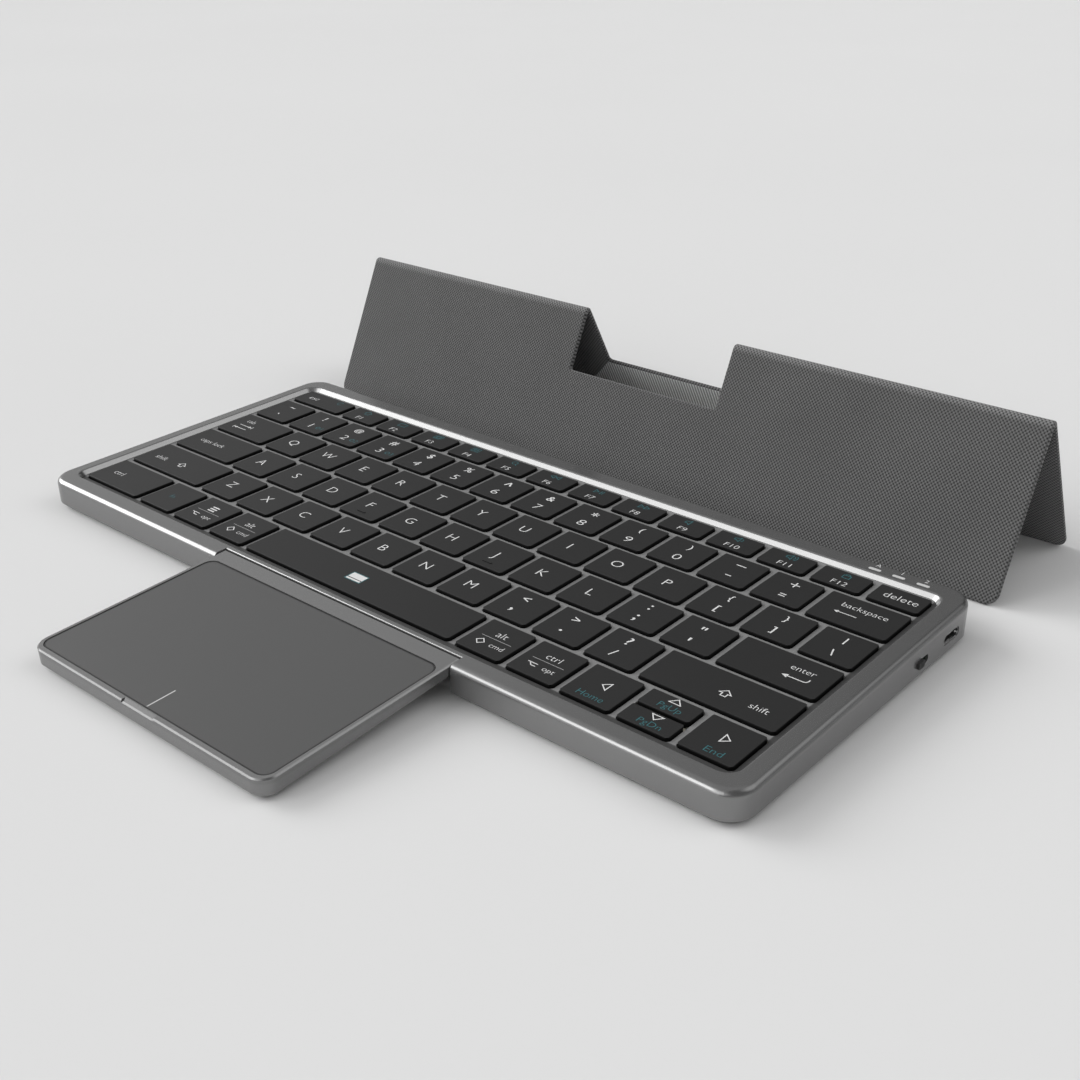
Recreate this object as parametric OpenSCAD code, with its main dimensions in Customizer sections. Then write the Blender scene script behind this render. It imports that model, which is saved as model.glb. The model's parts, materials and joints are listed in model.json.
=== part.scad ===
// Slim wireless keyboard with a fold-out touchpad and a separate folding fabric stand.
// Millimetres. +X to the right of the typist, +Y away from the typist, +Z up.
// The origin is on the desk, under the middle of the rear rubber foot.

/* [Keys] */
// Pitch of the keys, both ways
pitch = 18.4; // [17:0.1:20]
// Gap between two key tops side by side
key_gap_x = 2.4; // [2:0.1:3.2]
// Gap between two rows of key tops
key_gap_y = 2.3; // [2:0.1:3.2]
// Depth of the function keys
fn_depth = 9.8; // [8:0.1:12]
// Gap between the function keys and the number row
fn_gap = 2.5; // [2:0.1:4]
// Gap between the two half-height arrow keys
arrow_gap = 1.2; // [0.8:0.1:2]
// Corner radius of a key seen from above
key_corner = 1.2; // [0.6:0.1:2]
// Rounding of a key's top edges
key_edge = 0.35; // [0.15:0.05:0.6]
// Thickness of a key cap
cap_t = 1.5; // [1.3:0.1:1.7]
// Travel of a key
key_travel = 1; // [0.6:0.1:1.05]

/* [Key deck] */
// Clearance round a key in the web
web_gap = 0.35; // [0.2:0.05:0.6]
// Drop from the key tops to the top of the web
web_drop = 1; // [0.8:0.1:1.2]
// Thickness of the web between the keys
web_t = 0.7; // [0.5:0.1:0.9]
// Drop from the key tops to the membrane
membrane_drop = 2.6; // [2.6:0.05:2.8]
// Thickness of the membrane
membrane_t = 0.15; // [0.1:0.05:0.25]
// Thickness of the steel base plate
base_t = 0.4; // [0.3:0.1:0.5]
// How far the deck plates reach under the bezel
deck_lap = 1.4; // [0.8:0.1:2]

/* [Body] */
// Bezel left of the key well
bezel_left = 5; // [4:0.1:8]
// Bezel right of the key well
bezel_right = 5.8; // [4:0.1:8]
// Bezel behind the key well
bezel_back = 7; // [6:0.1:10]
// Bezel in front of the key well
bezel_front = 6.6; // [5.5:0.1:9]
// Gap from the left and back keys to the wall of the well
well_gap = 3.3; // [2.5:0.1:5]
// Gap from the right keys to the wall of the well
well_gap_right = 2.9; // [2.5:0.1:5]
// Gap from the front keys to the wall of the well
well_gap_front = 3.5; // [2.5:0.1:5]
// Height of the bezel above the key tops
bezel_rise = 0.65; // [0.3:0.05:1]
// Corner radius of the body
corner_r = 8; // [5:0.5:12]
// Corner radius of the key well
well_r = 5; // [3:0.5:6]
// Rounding of the body's top outer edge
edge_r = 2; // [1:0.1:2.4]
// Rounding of the key well's top edge
well_edge_r = 0.9; // [0.6:0.1:1.2]
// Rounding of the bezel's edge over the bay
bay_edge_r = 0.5; // [0.2:0.1:0.8]
// Slope of the key well's wall
well_slope = 50; // [40:1:60]
// How far the well's wall slopes in over the web
well_lip = 1.4; // [0.8:0.1:1.6]
// Thickness of the outer wall
wall = 1.6; // [1.2:0.1:2.4]
// Slope of the key deck
deck_tilt = 1.26; // [0.8:0.02:1.8]
// Height of the key tops above the desk, at the back edge of the bottom row
deck_h = 10.4; // [10.3:0.1:12]
// Thickness of the bottom cover
cover_t = 1.1; // [0.9:0.1:1.2]
// Chamfer round the bottom cover
cover_chamfer = 0.8; // [0.4:0.1:0.8]
// Height of the rubber feet
foot_h = 1; // [0.8:0.1:1.2]
// Running clearance between parts that are let into each other
fit = 0.05; // [0.03:0.01:0.1]

/* [Touchpad] */
// Width of the bay in the front of the body
bay_w = 99.8; // [90:0.1:110]
// Centre of the bay, from the centre of the body
bay_x = 0.55; // [-3:0.05:3]
// How far the bay cuts into the front bezel
bay_cut = 4.95; // [4:0.05:5.2]
// Gap from the touchpad to each side of the bay
pad_side_gap = 0.3; // [0.2:0.05:0.6]
// Gap from the back of the touchpad to the bezel
pad_back_gap = 0.8; // [0.5:0.05:1.2]
// Depth of the touchpad, front to back
pad_d = 67; // [55:0.5:70]
// Thickness of the touchpad at its back
pad_t_back = 3.9; // [3.6:0.1:4.2]
// Thickness of the touchpad at its front
pad_t_front = 5.8; // [5.2:0.1:5.8]
// Slope of the touchpad's top
pad_tilt = 3.12; // [2.8:0.02:3.2]
// Drop from the bezel to the back of the touchpad
pad_step = 0.25; // [0.1:0.05:0.5]
// Corner radius of the touchpad
pad_r = 5; // [3:0.5:8]
// Bright chamfer round the touchpad's top
pad_chamfer = 0.4; // [0.2:0.05:0.7]
// Rim beside the touch surface
rim_side = 1.3; // [1.2:0.1:3]
// Rim in front of the touch surface
rim_front = 1.8; // [1.5:0.1:4]
// Strip behind the touch surface
rim_back = 5.6; // [4:0.1:8]
// Thickness of the rim
rim_t = 1.5; // [1.2:0.1:1.7]
// Corner radius of the touch surface
surface_r = 3.5; // [2:0.1:5]
// Thickness of the touch surface
surface_t = 0.9; // [0.6:0.1:1]
// How far the touch surface is set below the rim
surface_drop = 0.15; // [0.05:0.05:0.3]
// Gap round the touch surface
surface_gap = 0.25; // [0.15:0.05:0.4]
// Travel of the touch surface when it is clicked
click_travel = 0.25; // [0.15:0.05:0.3]
// Width of the finger notch
finger_w = 13.6; // [10:0.1:20]
// Drop of the finger notch at the front face
finger_d = 0.7; // [0.4:0.1:0.9]
// How far the finger notch slopes in over the rim
finger_in = 1.4; // [0.8:0.1:1.5]
// Radius of the hinge pin
pin_r = 0.6; // [0.5:0.05:0.7]
// Radius of the hinge knuckles
knuckle_r = 1.25; // [1.15:0.05:1.3]
// Length of each hinge knuckle
knuckle_l = 14; // [8:1:24]

/* [Ports] */
// Width of the charging port
port_w = 9.2; // [9:0.05:9.4]
// Height of the charging port
port_h = 3.3; // [3.2:0.05:3.4]
// Distance from the body's back to the port's centre
port_from_back = 15.2; // [12:0.1:20]
// Height of the port's centre above the desk
port_z = 6.2; // [6:0.1:6.4]
// Distance from the body's back to the middle of the power switch
switch_from_back = 32.6; // [28:0.1:36]
// Height of the power switch above the desk
switch_z = 5.8; // [5.7:0.1:6]
// Length of the power switch slot
slot_l = 6.8; // [6:0.1:8]
// Height of the power switch slot
slot_h = 2.6; // [2.2:0.1:2.8]
// Travel of the power switch
switch_travel = 2.4; // [1.5:0.1:3]
// How far the switch knob stands out of the body
knob_out = 0.8; // [0.4:0.1:1.2]
// Length of an indicator lens
lamp_l = 4; // [3:0.1:5]
// Width of an indicator lens
lamp_w = 1.2; // [0.8:0.1:1.6]
// Pitch of the indicator lenses
lamp_pitch = 7.7; // [6:0.1:9]
// Distance from the body's right side to the last indicator
lamp_from_right = 14.6; // [12:0.1:20]

/* [Stand] */
// Width of the stand
stand_w = 287.5; // [240:0.5:300]
// Centre of the stand, from the centre of the body
stand_x = -4.7; // [-8:0.1:8]
// Distance from the body's back to the fold
stand_y = 43.2; // [36:0.1:70]
// Height of the fold's axis above the desk
fold_z = 50.5; // [45:0.5:54]
// Radius of the rounded fold
fold_r = 1.9; // [1.9:0.05:2.3]
// Slope of the front panel
front_slope = 65.4; // [60:0.1:70]
// Slope of the back panel
back_slope = 60.2; // [56:0.1:66]
// Thickness of the outer cloth
cloth_t = 0.4; // [0.3:0.05:0.5]
// Thickness of the stiffener board
board_t = 1; // [0.8:0.1:1]
// Thickness of the lining
lining_t = 0.3; // [0.2:0.05:0.3]
// Width of the notch across the fold
notch_w = 64; // [40:1:90]
// Depth of the notch down the front panel
notch_front = 21.6; // [15:0.1:30]
// Depth of the notch down the back panel
notch_back = 25.2; // [15:0.1:30]
// Corner radius of the panels
panel_r = 4; // [2:0.5:8]
// Radius of the holding magnets
magnet_r = 4; // [3:0.5:5]

/* [Hidden] */
$fn = 48;
EPS = 0.01;
BIG = 400;

// Rows of keys from the front to the back, each key as its share of the pitch.
ROW_BOTTOM = [1.65, 1, 1, 1, 4.85, 1, 1, 1, 1, 1];
ROW_Z = [2.125, 1, 1, 1, 1, 1, 1, 1, 1, 1, 1, 2.375];
ROW_A = [1.75, 1, 1, 1, 1, 1, 1, 1, 1, 1, 1, 1, 1.75];
ROW_Q = [1.5, 1, 1, 1, 1, 1, 1, 1, 1, 1, 1, 1, 1, 1];
ROW_NUMBER = [1.02, 1, 1, 1, 1, 1, 1, 1, 1, 1, 1, 1, 1, 1.48];
ROW_FN = [1.5, 1, 1, 1, 1, 1, 1, 1, 1, 1, 1, 1, 1, 1];
ROWS = [ROW_BOTTOM, ROW_Z, ROW_A, ROW_Q, ROW_NUMBER, ROW_FN];
BOTTOM = 0;
ZROW = 1;
AROW = 2;
QROW = 3;
NUMROW = 4;
FNROW = 5;
SPLIT_KEY = 8;
FIELD_UNITS = 14.5;

// Key field and well, in deck coordinates: y is 0 at the back edge of the bottom row.
key_d = pitch - key_gap_y;
field_w = FIELD_UNITS * pitch - key_gap_x;
fn_back = NUMROW * pitch + fn_gap + fn_depth;
well_w = field_w + well_gap + well_gap_right;
body_w = bezel_left + bezel_right + well_w;
well_front = -key_d - well_gap_front;
well_back = fn_back + well_gap;
well_d = well_back - well_front;
well_x = (bezel_left - bezel_right) / 2;
field_x = -body_w / 2 + bezel_left + well_gap;
body_front = well_front - bezel_front;
body_back = well_back + bezel_back;
body_d = body_back - body_front;
body_mid = (body_back + body_front) / 2;

// The deck frame stands at deck_y on the desk, so that the rear foot is at y = 0.
rear_foot_in = 8.8;
rear_foot_w = 230;
rear_foot_d = 8;
foot_r = 3;
front_foot_w = 50;
front_foot_d = 7;
front_foot_side = 16;
front_foot_in = 15;
deck_y = -(body_back - rear_foot_in);
body_back_y = deck_y + body_back;
body_front_y = deck_y + body_front;
lip_land = 0.15;
cover_top = foot_h + cover_t;
cover_in = 0.3;
cover_back_gap = 0.15;
dome_r = 2.8;
dome_taper = 0.6;
frame_low = cover_top;
base_low = -(membrane_drop + membrane_t + base_t);
DEEP = 16;

// Half-height arrow keys.
arrow_d = (key_d - arrow_gap) / 2;

// Touchpad: its own frame has y = 0 at the back edge, -y to the front and z = 0 on top.
pad_w = bay_w - 2 * pad_side_gap;
bay_back_of_front = body_front + bay_cut;
pad_back_y = deck_y + bay_back_of_front - pad_back_gap;
pad_back_z = deck_h + (bay_back_of_front - pad_back_gap) * sin(deck_tilt) + bezel_rise - pad_step;
pad_wedge = atan((pad_t_front - pad_t_back) / pad_d);
pin_local_y = -knuckle_r;
pin_below = 0.5;
pin_local_z = -pad_t_back - pin_below;
pin_y = pad_back_y + pin_local_y * cos(pad_tilt) - pin_local_z * sin(pad_tilt);
pin_z = pad_back_z + pin_local_y * sin(pad_tilt) + pin_local_z * cos(pad_tilt);
liner_t = 1;
liner_front_gap = 0.25;
pad_fold_room = 2.5;
bay_depth_y = pin_y + pad_d + pad_fold_room;
tray_wall = 1.2;
tray_floor = 1;
board_drop = surface_drop + surface_t;
pad_board_t = 0.8;
tray_edge_cut = 0.9;
pad_screw_x = [-26, -9, 9, 26];
pad_screw_in = 3.3;
pad_screw_r = 0.5;
pad_screw_drop = 0.5;
pad_boss_r = 1.6;
pad_head_r = 1.1;
pad_head_t = 0.5;
knuckle_in = 2;
click_w = 6;
click_from_front = 9;
pad_foot_w = 70;
pad_foot_d = 5;
pad_foot_in = 4;
pad_foot_r = 2;

// Electronics.
board_top = port_z - port_h / 2 - fit;
main_board_t = 1;
board_w = 74;
board_d = 34;
board_side_gap = 0.4;
board_back_gap = 6;
standoff_r = 2;
standoff_in = 6;
port_y = body_back_y - port_from_back;
switch_y = body_back_y - switch_from_back;
port_depth = 7.3;
knob_l = 3.2;
knob_h = slot_h - 0.4;
knob_end_gap = 0.3;
rib_pitch = 0.8;
rib_gap = 0.3;
housing_l = 8.6;
housing_h = 2.6;
housing_d = 4;
housing_in = 0.3;
housing_slot_d = 2;
shell_t = 0.35;
shell_back = 1;
tongue_h = 0.7;
tongue_side = 1.25;
port_in = 0.3;
lens_y = body_back - 5;

// Posts that carry the base plate, with the screws that go up into them.
post_r = 2.2;
screw_r = 0.7;
screw_head_r = 1.5;
screw_head_t = 0.6;
screw_len = 4.2;
post_side = 9;
post_bay_gap = 8;
post_front = 10;
post_back = 24;
post_x = [
  -body_w / 2 + post_side, bay_x - bay_w / 2 - post_bay_gap,
  bay_x + bay_w / 2 + post_bay_gap, body_w / 2 - post_side
];
post_y = [body_front_y + post_front, body_back_y - post_back];
battery_w = 72;
battery_d = 44;
battery_t = 3.6;
battery_front = 30;
battery_gap = 4.6;

// Stand: each panel runs down from the fold's axis.
stand_py = body_back_y + stand_y;
panel_in = fold_r - cloth_t - board_t - lining_t;
panel_start = fold_r + 0.3;
cloth_in = panel_in + lining_t;
front_len = (fold_z + cloth_in * cos(front_slope)) / sin(front_slope);
back_len = (fold_z + cloth_in * cos(back_slope)) / sin(back_slope);
hem = 1.2;
lining_inset = 0.5;
magnet_side = 20;
magnet_up = 14;

// ---- Places -------------------------------------------------------------

// Puts its children in the frame of the sloping key deck.
module on_deck() {
  translate([0, deck_y, deck_h]) rotate([deck_tilt, 0, 0]) children();
}

// Puts its children in the frame of the touchpad's top.
module on_pad() {
  translate([bay_x, pad_back_y, pad_back_z]) rotate([pad_tilt, 0, 0]) children();
}

// Puts its children in the frame of the touchpad's underside, whose z = 0 is the underside.
module on_pad_base() {
  on_pad() translate([0, 0, -pad_t_back]) rotate([pad_wedge, 0, 0]) children();
}

// Puts its children in a panel's frame: x along the fold, y away from the fold, z outwards.
module on_front_panel() {
  translate([stand_x, stand_py, fold_z]) rotate([180 + front_slope, 0, 0]) mirror([0, 0, 1]) children();
}

module on_back_panel() {
  translate([stand_x, stand_py, fold_z]) rotate([-back_slope, 0, 0]) children();
}

// Space above a level plane.
module above(z) {
  translate([-BIG / 2, -BIG / 2, z]) cube([BIG, BIG, BIG]);
}

// ---- Shapes that repeat -------------------------------------------------

// Rounded rectangle with its lower left corner at the origin.
module rounded_rect(w, d, r) {
  translate([r, 0]) square([w - 2 * r, d]);
  translate([0, r]) square([w, d - 2 * r]);
  for (x = [r, w - r], y = [r, d - r]) translate([x, y]) circle(r);
}

// Slab with round corners whose edge has the profile of its children.
// The profile's x runs out from the centre of the corner and its y is the height.
module edge_slab(w, d, r, low, high) {
  cx = w / 2 - r;
  cy = d / 2 - r;
  translate([-cx, -cy, low]) cube([2 * cx, 2 * cy, high - low]);
  for (s = [0, 1]) mirror([s, 0, 0]) {
    translate([cx, cy, 0]) rotate([90, 0, 0]) linear_extrude(2 * cy) children();
    translate([cx, cy, 0]) rotate_extrude(angle = 90) children();
    translate([cx, -cy, 0]) rotate([0, 0, -90]) rotate_extrude(angle = 90) children();
  }
  translate([-cx, cy, 0]) rotate([90, 0, 90]) linear_extrude(2 * cx) children();
  mirror([0, 1, 0]) translate([-cx, cy, 0]) rotate([90, 0, 90]) linear_extrude(2 * cx) children();
}

// Edge profile with a rounded top.
module round_top_profile(r, low, high, edge) {
  translate([0, low]) square([r, high - low - edge]);
  translate([0, low]) square([r - edge, high - low]);
  translate([r - edge, high - edge]) circle(edge);
}

// Edge profile of a cutter that leaves a sloping wall with a rounded rim.
// The wall's foot stands on the web, and its rim is tangent to the bezel's top.
module well_profile(r, low, high) {
  foot = -web_drop + lip_land;
  rise = high - well_edge_r - foot;
  rim = r - well_lip + (well_edge_r + rise * cos(well_slope)) / sin(well_slope);
  difference() {
    polygon([
      [0, low], [r - well_lip, low], [r - well_lip, foot],
      [rim - well_edge_r * sin(well_slope), high - well_edge_r * (1 - cos(well_slope))],
      [rim, high], [rim, high + EPS], [0, high + EPS]
    ]);
    translate([rim, high - well_edge_r]) circle(well_edge_r);
  }
}

// Edge profile with a chamfer at its top.
module chamfer_top_profile(r, low, high, c) {
  polygon([[0, low], [r, low], [r, high - c], [r - c, high], [0, high]]);
}

// Edge profile with a chamfer at its bottom.
module chamfer_low_profile(r, low, high, c) {
  polygon([[0, low], [r - c, low], [r, low + c], [r, high], [0, high]]);
}

// ---- Keys ---------------------------------------------------------------

function row_start(row, i) = i == 0 ? 0 : row_start(row, i - 1) + ROWS[row][i - 1];
function key_x(row, i) = field_x + row_start(row, i) * pitch;
function key_w(row, i) = ROWS[row][i] * pitch - key_gap_x;
function row_back(row) = row == FNROW ? fn_back : row * pitch;
function row_d(row) = row == FNROW ? fn_depth : key_d;

// Side outline of a cap, with its two top edges rounded.
module cap_side(w) {
  translate([0, -cap_t]) square([w, cap_t - key_edge]);
  translate([key_edge, -cap_t]) square([w - 2 * key_edge, cap_t]);
  for (x = [key_edge, w - key_edge]) translate([x, -key_edge]) circle(key_edge);
}

// Key cap with its back left corner at the origin and its top at z = 0.
module cap(w, d) {
  intersection() {
    translate([0, -d, -cap_t]) linear_extrude(cap_t) rounded_rect(w, d, key_corner);
    rotate([90, 0, 0]) linear_extrude(d) cap_side(w);
    translate([0, -d, 0]) rotate([90, 0, 90]) linear_extrude(w) cap_side(d);
  }
}

module key(row, i) {
  color("#363637")
  on_deck() translate([key_x(row, i), row_back(row), 0]) cap(key_w(row, i), row_d(row));
}

module keys(row, first, last) {
  for (i = [first : last]) key(row, i);
}

// One of the two half-height arrow keys; level is 1 for the upper one.
module half_key(level) {
  back = -(1 - level) * (arrow_d + arrow_gap);
  color("#363637")
  on_deck() translate([key_x(BOTTOM, SPLIT_KEY), back, 0]) cap(key_w(BOTTOM, SPLIT_KEY), arrow_d);
}

// Raised bar on the two home keys.
module home_bar(i) {
  bar_l = 3.4;
  bar_w = 0.5;
  bar_h = 0.2;
  x = key_x(AROW, i) + key_w(AROW, i) / 2;
  y = row_back(AROW) - key_d + 2.6;
  color("#3c3c3d")
  on_deck() translate([x - bar_l / 2, y, -EPS]) cube([bar_l, bar_w, bar_h + EPS]);
}

// ---- Keyboard -----------------------------------------------------------

// Rectangle across the deck that the deck plates fill.
module deck_plate(low, t) {
  left = well_x - well_w / 2 - deck_lap;
  translate([left, well_front + fit, low])
  linear_extrude(t) rounded_rect(well_w + 2 * deck_lap, well_d + deck_lap - fit, well_r);
}

module top_frame() {
  color("#66686a") difference() {
    intersection() {
      on_deck() difference() {
        translate([0, body_mid, 0]) edge_slab(body_w, body_d, corner_r, -DEEP, bezel_rise)
          round_top_profile(corner_r, -DEEP, bezel_rise, edge_r);
        difference() {
          translate([-body_w / 2 + wall, body_front + wall, -DEEP - 1])
            linear_extrude(DEEP + 1 - web_drop)
            rounded_rect(body_w - 2 * wall, body_d - 2 * wall, corner_r - wall);
          translate([bay_x - bay_w / 2 - liner_t, bay_back_of_front, base_low])
            cube([bay_w + 2 * liner_t, well_front - bay_back_of_front, DEEP]);
        }
        translate([well_x, (well_front + well_back) / 2, 0])
          edge_slab(well_w, well_d, well_r, -DEEP, bezel_rise + EPS)
          well_profile(well_r, -DEEP, bezel_rise);
        for (k = [0 : 2]) lens_hole(k, fit);
      }
      above(frame_low);
    }
    bay_cutout();
    port_cutout();
    switch_cutout();
  }
}

// Cut for the touchpad in the front bezel, with a rounded edge along its back.
module bay_cutout() {
  on_deck() translate([bay_x - bay_w / 2, body_front, 0]) {
    translate([0, -1, -DEEP]) cube([bay_w, bay_cut + 1, 2 * DEEP]);
    rotate([90, 0, 90]) linear_extrude(bay_w) difference() {
      translate([bay_cut - EPS, bezel_rise - bay_edge_r]) square([bay_edge_r + EPS, bay_edge_r + EPS]);
      translate([bay_cut + bay_edge_r, bezel_rise - bay_edge_r]) circle(bay_edge_r);
    }
  }
}

// Hole for an indicator lens, counted from the right.
module lens_hole(k, gap) {
  x = body_w / 2 - lamp_from_right - k * lamp_pitch;
  translate([x - lamp_l / 2 - gap, lens_y - lamp_w / 2 - gap, -web_drop - (gap > 0 ? 1 : 0)])
  linear_extrude(web_drop + bezel_rise + (gap > 0 ? 2 : 0))
  rounded_rect(lamp_l + 2 * gap, lamp_w + 2 * gap, lamp_w / 2 + gap - EPS);
}

// Outline of the charging port, out of the right side.
module port_outline(grow, length) {
  w = port_w + 2 * grow;
  h = port_h + 2 * grow;
  translate([0, port_y, port_z]) rotate([90, 0, 90])
  linear_extrude(length) translate([-w / 2, -h / 2]) rounded_rect(w, h, h / 2 - EPS);
}

module port_cutout() {
  translate([body_w / 2 - wall - 1, 0, 0]) port_outline(fit, wall + 2);
}

module switch_cutout() {
  translate([body_w / 2 - wall - 1, switch_y, switch_z]) rotate([90, 0, 90]) linear_extrude(wall + 2)
  translate([-slot_l / 2, -slot_h / 2]) rounded_rect(slot_l, slot_h, slot_h / 2 - EPS);
}

module post(x, y) {
  intersection() {
    translate([x, y, cover_top - EPS]) cylinder(r = post_r, h = DEEP);
    on_deck() translate([-BIG / 2, -BIG / 2, base_low - DEEP]) cube([BIG, BIG, DEEP]);
  }
}

module bottom_cover() {
  mid_y = (body_front_y + body_back_y) / 2 + cover_back_gap;
  open_w = bay_w + 2 * liner_t + 2 * fit;
  cover_w = body_w - 2 * cover_in;
  cover_d = body_d - 2 * cover_in;
  color("#4c4e50") difference() {
    union() {
      translate([0, mid_y, 0]) edge_slab(cover_w, cover_d, corner_r, foot_h, cover_top)
        chamfer_low_profile(corner_r, foot_h, cover_top, cover_chamfer);
      for (x = post_x, y = post_y) post(x, y);
    }
    translate([bay_x - open_w / 2, body_front_y - 5, -1])
      cube([open_w, bay_depth_y + liner_t + fit - body_front_y + 5, 6]);
    for (x = post_x, y = post_y) {
      translate([x, y, foot_h - EPS]) cylinder(r = screw_r, h = screw_len + 0.3);
      translate([x, y, foot_h - 1]) cylinder(r = screw_head_r + fit, h = 1 + screw_head_t);
    }
  }
}

module key_web() {
  color("#6b6c6d") on_deck() difference() {
    deck_plate(-web_drop - web_t, web_t);
    for (row = [0 : len(ROWS) - 1], i = [0 : len(ROWS[row]) - 1])
      translate([key_x(row, i) - web_gap, row_back(row) - row_d(row) - web_gap, -web_drop - web_t - 1])
      linear_extrude(web_t + 2)
      rounded_rect(key_w(row, i) + 2 * web_gap, row_d(row) + 2 * web_gap, key_corner + web_gap);
  }
}

module membrane() {
  color("#c9c7b8") on_deck() deck_plate(-membrane_drop - membrane_t, membrane_t);
}

module base_plate() {
  color("#8d9194") on_deck() deck_plate(base_low, base_t);
}

module dome(x, y, d) {
  low_r = min(dome_r, d / 2 - 0.6);
  translate([x, y, -membrane_drop])
    cylinder(r1 = low_r, r2 = low_r * dome_taper, h = membrane_drop - cap_t - fit);
}

module rubber_domes() {
  color("#dcdcda") on_deck() {
    for (row = [0 : len(ROWS) - 1], i = [0 : len(ROWS[row]) - 1])
      if (row != BOTTOM || i != SPLIT_KEY)
        dome(key_x(row, i) + key_w(row, i) / 2, row_back(row) - row_d(row) / 2, row_d(row));
    for (level = [0, 1])
      dome(key_x(BOTTOM, SPLIT_KEY) + key_w(BOTTOM, SPLIT_KEY) / 2,
        -(1 - level) * (arrow_d + arrow_gap) - arrow_d / 2, arrow_d);
  }
}

// Walls round the space that the touchpad folds into. They carry the hinge pin.
module touchpad_bay() {
  front_y = body_front_y + wall + liner_front_gap;
  color("#55575a") difference() {
    intersection() {
      difference() {
        translate([bay_x - bay_w / 2 - liner_t, front_y, foot_h])
          cube([bay_w + 2 * liner_t, bay_depth_y + liner_t - front_y, DEEP]);
        translate([bay_x - bay_w / 2, front_y - 1, foot_h - 1])
          cube([bay_w, bay_depth_y - front_y + 1, DEEP + 2]);
      }
      on_deck() translate([-BIG / 2, -BIG / 2, base_low - DEEP]) cube([BIG, BIG, DEEP]);
    }
    translate([bay_x - bay_w / 2 - liner_t - 1, pin_y, pin_z]) rotate([0, 90, 0])
      cylinder(r = pin_r + fit, h = bay_w + 2 * liner_t + 2);
  }
}

module touchpad_pin() {
  color("#b9bcbf")
  translate([bay_x - bay_w / 2 - liner_t + fit, pin_y, pin_z]) rotate([0, 90, 0])
    cylinder(r = pin_r, h = bay_w + 2 * liner_t - 2 * fit);
}

module main_board() {
  right = body_w / 2 - wall - board_side_gap;
  left = right - board_w;
  back = body_back_y - board_back_gap;
  front = back - board_d;
  color("#1f5a38") {
    difference() {
      translate([left, front, board_top - main_board_t]) cube([board_w, board_d, main_board_t]);
      translate([post_x[3], post_y[1], board_top - 2 * main_board_t])
        cylinder(r = post_r + board_side_gap, h = 3 * main_board_t);
    }
    for (x = [left + standoff_in, right - standoff_in], y = [front + standoff_in, back - standoff_in])
      translate([x, y, cover_top])
        cylinder(r = standoff_r, h = board_top - main_board_t - cover_top + EPS);
  }
}

module battery_pack() {
  right = bay_x - bay_w / 2 - liner_t - battery_gap;
  color("#8f9396")
  translate([right - battery_w, body_front_y + battery_front, cover_top])
    linear_extrude(battery_t) rounded_rect(battery_w, battery_d, 2);
}

module usb_c_port() {
  tongue_w = port_w - 2 * tongue_side;
  back = body_w / 2 - port_in - port_depth;
  color("#b4b7ba") difference() {
    translate([back, 0, 0]) port_outline(-fit, port_depth);
    translate([back + shell_back, 0, 0]) port_outline(-fit - shell_t, port_depth);
  }
  color("#2b2b2c")
  translate([back + shell_back - EPS, port_y - tongue_w / 2, port_z - tongue_h / 2])
    cube([port_depth - 2 * shell_back, tongue_w, tongue_h]);
}

module switch_housing() {
  face = body_w / 2 - wall - housing_in;
  color("#2f9a4a") difference() {
    translate([face - housing_d, switch_y - housing_l / 2, board_top])
      cube([housing_d, housing_l, housing_h]);
    translate([face - housing_slot_d, switch_y - slot_l / 2, switch_z - knob_h / 2 - 2 * fit])
      cube([housing_slot_d + 1, slot_l, knob_h + 4 * fit]);
  }
}

// Knob of the power switch, with grip ribs, at the front end of its slot.
module power_switch() {
  inner = body_w / 2 - wall - housing_in - housing_slot_d + 2 * fit;
  outer = body_w / 2 + knob_out;
  front = switch_y - slot_l / 2 + knob_end_gap;
  color("#232324") difference() {
    translate([inner, front, switch_z - knob_h / 2]) rotate([90, 0, 90])
      linear_extrude(outer - inner) rounded_rect(knob_l, knob_h, 0.5);
    for (k = [1 : 3])
      translate([outer - rib_gap, front + k * rib_pitch - rib_gap / 2, switch_z - knob_h])
        cube([1, rib_gap, 2 * knob_h]);
  }
}

module indicator_lenses() {
  color("#e8e6e0") on_deck() for (k = [0 : 2]) lens_hole(k, 0);
}

module rear_foot() {
  color("#202021") translate([-rear_foot_w / 2, -rear_foot_d / 2, 0])
    linear_extrude(foot_h) rounded_rect(rear_foot_w, rear_foot_d, foot_r);
}

module front_feet() {
  left = -body_w / 2 + front_foot_side;
  right = body_w / 2 - front_foot_side - front_foot_w;
  color("#202021") for (x = [left, right]) translate([x, body_front_y + front_foot_in, 0])
    linear_extrude(foot_h) rounded_rect(front_foot_w, front_foot_d, foot_r);
}

module case_screws() {
  color("#3a3b3d") for (x = post_x, y = post_y) translate([x, y, foot_h]) {
    cylinder(r = screw_head_r, h = screw_head_t - fit);
    cylinder(r = screw_r - fit, h = screw_len);
  }
}

// ---- Touchpad -----------------------------------------------------------

// Outer form of the touchpad: a wedge with round front corners and a square back.
module pad_form() {
  extra = 2 * pad_r;
  slab_d = pad_d + extra;
  intersection() {
    on_pad() translate([0, -pad_d + slab_d / 2, 0]) edge_slab(pad_w, slab_d, pad_r, -DEEP, 0)
      chamfer_top_profile(pad_r, -DEEP, 0, pad_chamfer);
    on_pad_base() translate([0, -pad_d + slab_d / 2, 0]) edge_slab(pad_w, slab_d, pad_r, 0, DEEP)
      chamfer_low_profile(pad_r, 0, DEEP, tray_edge_cut);
    on_pad() translate([-BIG / 2, -BIG, -DEEP]) cube([BIG, BIG, 2 * DEEP]);
  }
}

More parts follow.
